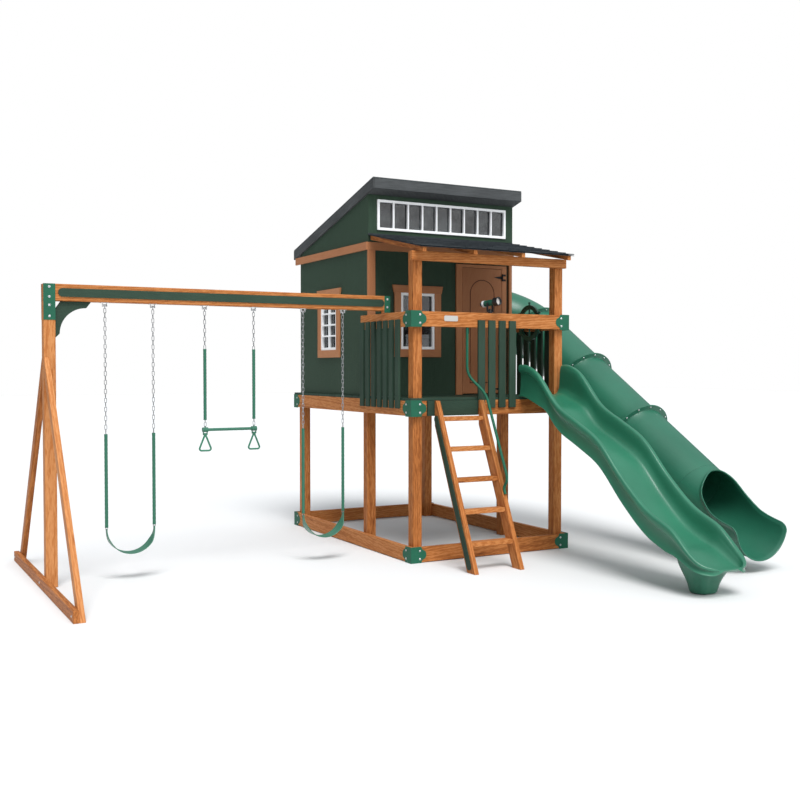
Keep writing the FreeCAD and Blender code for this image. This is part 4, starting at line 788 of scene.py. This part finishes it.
def make_slide_foot():
    """Moulded leg that flares out of the slide's underside, with upright flutes."""
    count = 60
    rings = []
    for z, half, front, back in FOOT_LEVELS:
        deep = (back - front) / 2
        ring = []
        for k in range(count):
            angle = 2 * math.pi * k / count
            flute = 1 - 0.045 * max(0.0, math.cos(7 * angle)) * smooth_step(z, 0.0, 0.05)
            c = math.copysign(abs(math.cos(angle)) ** 0.75, math.cos(angle))
            s = math.copysign(abs(math.sin(angle)) ** 0.75, math.sin(angle))
            y = (front + back) / 2 + s * flute * deep
            under = slide_levels(-0.002 - y)[2] - 0.012
            lip_under = slide_levels(-0.002 - y)[3] + 0.012
            ring.append(tower(SLIDE_X + c * flute * half, y, min(z, under, max(lip_under, z * 0.7))))
        rings.append(ring)
    bm, rows = lofted(rings, closed=False)
    bm.faces.new(rows[0][::-1])
    bm.faces.new(rows[-1])
    build = Builder("wave_slide_foot_shell")
    build.add(bm, smooth=True)
    build.finish([TUBE_PLASTIC], BODIES["wave_slide_foot"], ("wave_slide_foot",), subdivide=1)


# -- tube slide


TUBE_X = 2.480
TUBE_RADIUS = 0.287
TUBE_WALL = 0.006
FLANGE_RADIUS = 0.340
FLANGE_THICK = 0.008
TUBE_FALL = 0.61
# height of the straight run's centre line at the tower's front
TUBE_HEIGHT = 1.305
BEND_RADIUS = 0.5
RING_Y = (1.467, 0.602, -0.263)
SEAM_Y = -1.065
DOWN = Vector((0, -1, -TUBE_FALL)).normalized()
ABOVE = Vector((0, -TUBE_FALL, 1)).normalized()


def tube_point(y):
    """Centre of the tube's straight run at a depth."""
    return tower(TUBE_X, y, TUBE_HEIGHT + TUBE_FALL * y)


def around(centre, ahead, side, radius, count=72):
    """Ring of points round a centre line."""
    up = side.cross(ahead)
    ring = []
    for k in range(count):
        angle = 2 * math.pi * k / count
        ring.append(centre + (side * math.cos(angle) + up * math.sin(angle)) * radius)
    return ring


def flange_profile(start, direction):
    """Rounded outline of a flange: (distance along, radius), from the tube out and back."""
    thick = FLANGE_THICK * direction
    r = 0.0018
    edge = FLANGE_RADIUS
    return [
        (start, edge - r),
        (start + r * direction, edge),
        (start + thick - r * direction, edge),
        (start + thick, edge - r),
        (start + thick, TUBE_RADIUS + 0.010),
        (start + thick + 0.003 * direction, TUBE_RADIUS + 0.003),
        (start + thick + 0.010 * direction, TUBE_RADIUS),
    ]


def swept_tube(profile, place):
    """Solid of a closed (distance, radius) outline carried round a centre line."""
    rings = []
    for distance, radius in profile:
        centre, ahead, side = place(distance)
        rings.append(around(centre, ahead, side, radius))
    return lofted(rings)[0]


def tube_outline(length, low_flange, high_flange, steps):
    """Closed outline of a length of tube with a flange at either end, or a plain eased end."""
    bore = TUBE_RADIUS - TUBE_WALL
    eased = 0.002
    start = [(0.0, TUBE_RADIUS - eased), (eased, TUBE_RADIUS)]
    end = [(length, TUBE_RADIUS - eased), (length - eased, TUBE_RADIUS)]
    if low_flange:
        start = flange_profile(0.0, 1)
    if high_flange:
        end = flange_profile(length, -1)
    inside = [length * k / steps for k in range(1, steps)]
    outer = start + [(d, TUBE_RADIUS) for d in inside] + end[::-1]
    chamfer = 0.0025
    inner = [(length, bore + chamfer), (length - chamfer, bore)]
    inner += [(d, bore) for d in inside[::-1]]
    inner += [(chamfer, bore), (0.0, bore + chamfer)]
    return outer + inner


def make_tube():
    first = tube_point(RING_Y[0])
    bend_axis = X_AXIS.cross(DOWN)
    bend_end = first - DOWN * FLANGE_THICK
    start = bend_end - (X_AXIS + DOWN) * BEND_RADIUS
    wall = Vector((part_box("tube_elbow")[0][0], start.y, start.z))
    stub = start.x - wall.x
    arc = BEND_RADIUS * math.pi / 2

    def elbow_place(distance):
        if distance <= stub:
            return wall + X_AXIS * distance, X_AXIS, bend_axis
        angle = min((distance - stub) / BEND_RADIUS, math.pi / 2)
        beyond = max(0.0, distance - stub - arc)
        centre = start + (X_AXIS * math.sin(angle) + DOWN * (1 - math.cos(angle))) * BEND_RADIUS
        ahead = X_AXIS * math.cos(angle) + DOWN * math.sin(angle)
        return centre + DOWN * beyond, ahead, bend_axis

    material = [TUBE_PLASTIC]
    build = Builder("tube_elbow_shell")
    length = stub + arc + FLANGE_THICK
    build.add(swept_tube(tube_outline(length, True, True, 40), elbow_place), smooth=True)
    build.finish(material, BODIES["tube_elbow"], ("tube_elbow",), sharp=40)

    build = Builder("tube_sections_shell")
    ends = [tube_point(y) for y in RING_Y + (SEAM_Y,)]
    for k, (high, low) in enumerate(zip(ends, ends[1:])):

        def run_place(distance, high=high):
            return high + DOWN * distance, DOWN, X_AXIS

        outline = tube_outline((low - high).length, True, k < 2, 8)
        build.add(swept_tube(outline, run_place), smooth=True)
    build.finish(material, BODIES["tube_sections"], ("tube_sections",), sharp=40)
    make_flange_bolts(ends[:3])
    make_tube_exit(ends[3])


def make_flange_bolts(joints):
    """Round-headed bolts and nuts through each pair of flanges."""
    build = Builder("tube_flange_bolts")
    circle = (TUBE_RADIUS + FLANGE_RADIUS) / 2 + 0.004
    count = 14
    for joint in joints:
        for k in range(count):
            angle = 2 * math.pi * (k + 0.5) / count
            at = joint + (X_AXIS * math.cos(angle) + ABOVE * math.sin(angle)) * circle
            for sign in (-1, 1):
                face = at + DOWN * sign * FLANGE_THICK
                rings = [
                    around(face + DOWN * sign * height, DOWN, X_AXIS, radius, 12)
                    for height, radius in ((0.0, 0.009), (0.002, 0.009), (0.005, 0.0065), (0.0065, 0.003))
                ]
                bm, rows = lofted(rings, closed=False)
                bm.faces.new(rows[0])
                bm.faces.new(rows[-1])
                build.add(bm, smooth=True)
    build.finish([MATERIALS["zinc"]], BODIES["tube_sections"], sharp=50)


# the exit's rim seen from the side: distance down from the seam, height over the centre line
EXIT_RIM = (
    (0.125, 0.287),
    (0.19, 0.25),
    (0.30, 0.158),
    (0.40, 0.104),
    (0.52, 0.052),
    (0.64, 0.026),
    (0.76, 0.008),
    (0.845, -0.005),
)
EXIT_BEND = 1.59
EXIT_TURN = math.radians(30.4)
EXIT_LENGTH = EXIT_BEND * EXIT_TURN
EXIT_FLARE = 0.012
EXIT_CORNER = 0.075


def exit_place(seam, distance):
    """Centre, direction and upward normal along the exit's centre line."""
    hub = seam + ABOVE * EXIT_BEND
    turn = Matrix.Rotation(-distance / EXIT_BEND, 3, "X")
    return hub + turn @ (seam - hub), turn @ DOWN, turn @ ABOVE


def exit_radius(distance):
    return TUBE_RADIUS + EXIT_FLARE * distance / EXIT_LENGTH


def exit_reach(distance):
    """How far round from the bottom the exit's shell goes, in radians."""
    if distance <= EXIT_RIM[0][0]:
        return math.pi
    over = smooth_through(EXIT_RIM, distance)
    into = (distance - EXIT_LENGTH + EXIT_CORNER) / EXIT_CORNER
    if into > 0:
        over -= EXIT_CORNER * (1 - math.sqrt(max(0.0, 1 - into * into)))
    return math.acos(max(-1.0, min(1.0, -over / exit_radius(distance))))


def make_tube_exit(seam):
    """Scoop-shaped exit: a full tube whose top is cut back to a rolled rim."""
    opening = EXIT_RIM[0][0]
    span = EXIT_LENGTH - opening
    columns = 64
    roll_wide = 0.036
    distances = [0.0, 0.002, 0.03, 0.055, 0.075, 0.09, 0.10, 0.108, 0.114, 0.119, 0.1225, opening]
    full = len(distances)
    steps = 46
    distances += [opening + span * 0.93 * (k / steps) ** 1.9 for k in range(1, steps + 1)]
    before_end = (0.036, 0.028, 0.021, 0.015, 0.010, 0.006, 0.003, 0.001, 0.0)
    distances += [EXIT_LENGTH - gap for gap in before_end]
    edge = []
    samples = 160
    for k in range(samples + 1):
        at = opening + span * (k / samples) ** 2
        edge.append((at, exit_reach(at) * TUBE_RADIUS))
    bm = bmesh.new()

    def shell_rows(distance):
        centre, ahead, up = exit_place(seam, distance)
        reach = exit_reach(distance)
        radius = exit_radius(distance)
        rows = ([], [])
        for k in range(columns + 1):
            angle = math.sin(math.pi / 2 * (2 * k / columns - 1)) * reach
            along = abs(angle) * TUBE_RADIUS
            gap = min(math.hypot(distance - d, along - a) for d, a in edge)
            gap = min(gap, EXIT_LENGTH - distance)
            near = max(0.0, 1 - gap / roll_wide)
            middle = radius - TUBE_WALL / 2 + 0.013 * near * near * (3 - 2 * near)
            thick = TUBE_WALL / 2 + 0.0045 * near
            rounding = min(1.0, gap / 0.007)
            thick *= math.sqrt(max(0.0, 1 - (1 - rounding) ** 2)) * 0.85 + 0.15
            outward = X_AXIS * math.sin(angle) - up * math.cos(angle)
            chamfer = 0.002 if distance == 0.0 else 0.0
            rows[0].append(bm.verts.new(centre + outward * (middle + thick - chamfer)))
            rows[1].append(bm.verts.new(centre + outward * (middle - thick + chamfer)))
        return rows

    rows = [shell_rows(distance) for distance in distances]
    for k, (low, high) in enumerate(zip(rows, rows[1:])):
        for side in (0, 1):
            for c in range(columns):
                bm.faces.new((low[side][c], low[side][c + 1], high[side][c + 1], high[side][c]))
        if k >= full - 1:
            for c in (0, columns):
                bm.faces.new((low[0][c], high[0][c], high[1][c], low[1][c]))
    for row in (rows[0], rows[-1]):
        for c in range(columns):
            bm.faces.new((row[0][c], row[0][c + 1], row[1][c + 1], row[1][c]))
    bmesh.ops.remove_doubles(bm, verts=bm.verts[:], dist=0.00005)
    build = Builder("tube_exit_shell")
    build.add(bm, smooth=True)
    build.finish([TUBE_PLASTIC], BODIES["tube_exit"], ("tube_exit",), subdivide=1)


# -- swings


def link_mesh(centre, across, length, wide, wire):
    """Chain link: an oval of round wire, upright, its flat along a direction."""
    half = wide / 2 - wire / 2
    straight = length / 2 - wire / 2 - half
    ring_count = 40
    rings = []
    normal = Z_AXIS.cross(across)
    for k in range(ring_count):
        angle = 2 * math.pi * k / ring_count
        c = math.cos(angle)
        s = math.sin(angle)
        at = centre + across * half * c + Z_AXIS * (half * s + math.copysign(straight, s))
        outward = (across * c + Z_AXIS * s).normalized()
        ring = []
        for step in range(10):
            turn = 2 * math.pi * step / 10
            ring.append(at + (outward * math.cos(turn) + normal * math.sin(turn)) * wire / 2)
        rings.append(ring)
    return lofted(rings)[0]


def make_chains():
    for side in ("left_swing", "right_swing", "trapeze"):
        node = f"{side}_chains"
        build = Builder(f"{side}_chain_links")
        for triangles in solids_of(node):
            low, high = extent(triangles)
            size = high - low
            if size.z > 2.2 * max(size.x, size.y) and abs(size.x - size.y) > 0.010:
                across = X_AXIS if size.x > size.y else Y_AXIS
                wide = max(size.x, size.y)
                build.add(link_mesh((low + high) / 2, across, size.z, wide, min(size.x, size.y)), smooth=True)
            else:
                bm = clean_solid(triangles)
                ease(bm, 0.0008, 1, 50)
                build.add(bm, smooth=True)
        build.finish([CHAIN], BODIES[node], (node,), sharp=45)


def make_sleeves():
    """Vinyl grips on the chains, with softly rounded ends."""
    for side in ("left_swing", "right_swing", "trapeze"):
        node = f"{side}_sleeves"
        build = Builder(f"{side}_grips")
        for triangles in solids_of(node):
            low, high = extent(triangles)
            centre = (low + high) / 2
            radius = (high.x - low.x) / 2
            bore = radius - 0.002
            pocket = 0.03
            outline = [(low.z, bore), (low.z, radius - 0.001), (low.z + 0.002, radius)]
            waves = 44
            for k in range(1, waves):
                z = low.z + (high.z - low.z) * k / waves
                outline.append((z, radius - 0.0005 * (1 + math.cos(2 * math.pi * k / 2))))
            outline += [(high.z - 0.002, radius), (high.z, radius - 0.001), (high.z, bore)]
            outline += [(high.z - pocket, bore), (high.z - pocket, 0.0005)]
            outline += [(low.z + pocket, 0.0005), (low.z + pocket, bore)]
            rings = [around(Vector((centre.x, centre.y, z)), Z_AXIS, X_AXIS, r, 24) for z, r in outline]
            build.add(lofted(rings)[0], smooth=True)
        build.finish([MATERIALS["green_grip"]], BODIES[node], (node,), sharp=60)


def belt_half_width(share):
    """Half width of a belt seat at a share of its length: narrow tongues, full in the bowl."""
    ends = min(share, 1 - share)
    narrow = 0.021
    full = 0.0695
    return narrow + (full - narrow) * smooth_step(ends, 0.045, 0.215)


def make_belts():
    """Flexible belt seats: ribbed straps with rolled edges, hung in a half circle."""
    right_points = (0.3, 0.5, 0.56, 0.62, 0.8, 0.9, 0.97, 1.0)
    across_points = tuple(-share for share in right_points[::-1]) + (0.0,) + right_points
    raised = (0.0, 0.7, 1.0, 0.8, 0.55, 0.2, 0.55, 0.6, 0.6, 0.6, 0.55, 0.2, 0.55, 0.8, 1.0, 0.7, 0.0)
    for side in ("left_swing", "right_swing"):
        node = f"{side}_belt"
        low, high = (Vector(v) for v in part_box(node))
        middle = (low + high) / 2
        thick = 0.008
        radius = (high.x - low.x) / 2 - thick / 2
        tongue = 0.014
        arc = math.pi * radius
        total = arc + 2 * tongue
        rings = []
        steps = 72
        for k in range(steps + 1):
            travel = total * k / steps
            half = belt_half_width(k / steps)
            if travel < tongue:
                at = Vector((-radius, 0, tongue - travel))
                outward = -X_AXIS
            elif travel > tongue + arc:
                at = Vector((radius, 0, travel - tongue - arc))
                outward = X_AXIS
            else:
                angle = (travel - tongue) / radius
                outward = Vector((-math.cos(angle), 0, -math.sin(angle)))
                at = outward * radius
            origin = Vector((middle.x, middle.y, high.z - tongue)) + at
            row = []
            for share, lift in zip(across_points, raised):
                row.append(origin + Y_AXIS * share * half + outward * lift * thick / 2)
            for share, lift in list(zip(across_points, raised))[-2:0:-1]:
                row.append(origin + Y_AXIS * share * half - outward * lift * thick / 2)
            rings.append(row)
        bm, rows = lofted(rings, closed=False)
        bm.faces.new(rows[0])
        bm.faces.new(rows[-1])
        build = Builder(f"{side}_belt_seat")
        build.add(bm, smooth=True)
        build.finish([MATERIALS["green_plastic"]], BODIES[node], (node,), subdivide=1)


# -- metal and play pieces


def rounded_path(corners, reach):
    """Points along a path whose inner corners are eased into curves."""
    points = [corners[0]]
    for before, corner, after in zip(corners, corners[1:], corners[2:]):
        back = before - corner
        ahead = after - corner
        start = corner + back.normalized() * min(reach, back.length * 0.48)
        end = corner + ahead.normalized() * min(reach, ahead.length * 0.48)
        for k in range(13):
            t = k / 12
            points.append(start * (1 - t) ** 2 + corner * 2 * t * (1 - t) + end * t * t)
    points.append(corners[-1])
    return points


def rod(points, radius, count=20):
    """Round bar along a path, with slightly rounded ends."""
    spans = [after - before for before, after in zip(points, points[1:])]
    side = spans[0].orthogonal().normalized()
    rings = []
    for k, point in enumerate(points):
        ahead = (spans[max(0, k - 1)].normalized() + spans[min(k, len(spans) - 1)].normalized()).normalized()
        side = (side - ahead * side.dot(ahead)).normalized()
        rings.append(around(point, ahead, side, radius, count))
    bm, rows = lofted(rings, closed=False)
    bm.faces.new(rows[0][::-1])
    bm.faces.new(rows[-1])
    return bm


# front edge of the ladder's stringers: depth at the ground, and lean backwards for each metre up
STRINGER_FOOT = -0.717
STRINGER_SLOPE = 0.4447


def make_handrail():
    """Bent steel tube from the porch rail, past the deck's edge and down the right stringer."""
    low, high = (Vector(v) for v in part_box("ladder_handrail"))
    radius = 0.013
    top_x = low.x + radius
    grip_x = high.x - radius
    top_y = high.y - radius
    grip_top = tower(0, -0.118, 1.560)
    grip_low = tower(0, -0.482, 0.783)
    end_z = 0.650
    end_y = STRINGER_FOOT + end_z * STRINGER_SLOPE - radius * math.hypot(1, STRINGER_SLOPE)
    elbow_z = 0.712
    elbow_y = end_y + (elbow_z - end_z) * STRINGER_SLOPE
    corners = [
        Vector((top_x, top_y, high.z)),
        Vector((top_x, top_y, 1.740)),
        Vector((grip_x, grip_top.y, grip_top.z)),
        Vector((grip_x, grip_low.y, grip_low.z)),
        Vector((grip_x, CORNER.y + elbow_y, elbow_z)),
        Vector((grip_x, CORNER.y + end_y, end_z)),
    ]
    build = Builder("ladder_handrail_tube")
    build.add(rod(rounded_path(corners, 0.085), radius), smooth=True)
    node = "ladder_handrail"
    build.finish([MATERIALS[SLOTS[node]]], BODIES[node], (node,), sharp=60)


def make_fittings():
    turned("metal_brackets", 0.0008)
    for node in ("bolts", "swing_hangers", "wheel_axle"):
        turned(node, 0.0006)
    make_handrail()
    turned("trapeze_bar", 0.0012)
    for node in ("ring_left", "ring_right"):
        turned(node, 0)
    for node in ("door_hinges", "door_hardware"):
        turned(node, 0.0008)
    for node in ("telescope_base", "telescope_yoke", "telescope_tube"):
        turned(node, 0.0012)
    colours = [MATERIALS["black_plastic"], WHITE_BAND, LENS]
    turned("telescope_fittings", 0.0015, colours, lambda index: (1, 0, 0, 2)[index % 4])
    turned("ships_wheel", 0.003)
    turned("name_plate", 0.0012)


# -- floor, light and camera


def make_stage():
    floor_surface = Surface("pale_floor", 0.9, specular=0.1)
    floor_surface.constant("Base Color", (0.74, 0.74, 0.74, 1.0))
    mesh = bpy.data.meshes.new("floor")
    reach = 60.0
    corners = [(-reach, -reach, 0), (reach, -reach, 0), (reach, reach, 0), (-reach, reach, 0)]
    mesh.from_pydata(corners, [], [(0, 1, 2, 3)])
    mesh.materials.append(floor_surface.material)
    floor = bpy.data.objects.new("floor", mesh)
    bpy.context.scene.collection.objects.link(floor)

    make_world()
    bpy.context.scene.view_settings.view_transform = "Standard"
    add_sun("key", 3.0, (-0.28, -1.0, 1.6), 30)
    add_sun("fill", 1.0, (0.2, -1.0, 0.3), 50)


def make_world():
    """White surroundings; the light they give is strong from above and weak from the horizon."""
    world = bpy.data.worlds.new("studio")
    bpy.context.scene.world = world
    world.use_nodes = True
    tree = world.node_tree
    seen = tree.nodes["Background"]
    seen.inputs["Color"].default_value = (1.0, 1.0, 1.0, 1.0)
    lighting = tree.nodes.new("ShaderNodeBackground")
    lighting.inputs["Color"].default_value = (0.90, 0.95, 1.0, 1.0)
    place = tree.nodes.new("ShaderNodeTexCoord")
    parts = tree.nodes.new("ShaderNodeSeparateXYZ")
    spread = tree.nodes.new("ShaderNodeMapRange")
    spread.inputs["From Min"].default_value = -0.1
    spread.inputs["To Min"].default_value = 0.12
    spread.inputs["To Max"].default_value = 0.85
    rays = tree.nodes.new("ShaderNodeLightPath")
    mix = tree.nodes.new("ShaderNodeMixShader")
    tree.links.new(place.outputs["Generated"], parts.inputs[0])
    tree.links.new(parts.outputs["Z"], spread.inputs["Value"])
    tree.links.new(spread.outputs["Result"], lighting.inputs["Strength"])
    tree.links.new(rays.outputs["Is Camera Ray"], mix.inputs[0])
    tree.links.new(lighting.outputs[0], mix.inputs[1])
    tree.links.new(seen.outputs[0], mix.inputs[2])
    tree.links.new(mix.outputs[0], tree.nodes["World Output"].inputs[0])


def add_sun(name, strength, towards, softness):
    """Soft directional light that comes from a direction."""
    data = bpy.data.lights.new(name, "SUN")
    data.energy = strength
    data.angle = math.radians(softness)
    lamp = bpy.data.objects.new(name, data)
    lamp.rotation_mode = "QUATERNION"
    lamp.rotation_quaternion = Vector(towards).to_track_quat("Z", "Y")
    bpy.context.scene.collection.objects.link(lamp)


def make_camera():
    """Eye-level view from the front left."""
    place = tower(-4.6165, -8.2693, 1.7932)
    look_down = 1.717
    look_right = 28.551
    data = bpy.data.cameras.new("camera")
    data.lens = 46.58
    data.sensor_width = 36.0
    data.clip_end = 200.0
    camera = bpy.data.objects.new("camera", data)
    camera.location = place
    camera.rotation_euler = (math.radians(90 - look_down), 0, math.radians(-look_right))
    bpy.context.scene.collection.objects.link(camera)
    bpy.context.scene.camera = camera


make_timber()
make_cabin()
make_porch_roof()
make_cabin_roof()
make_wave_slide()
make_slide_foot()
make_tube()
make_chains()
make_sleeves()
make_belts()
make_fittings()
make_stage()
make_camera()
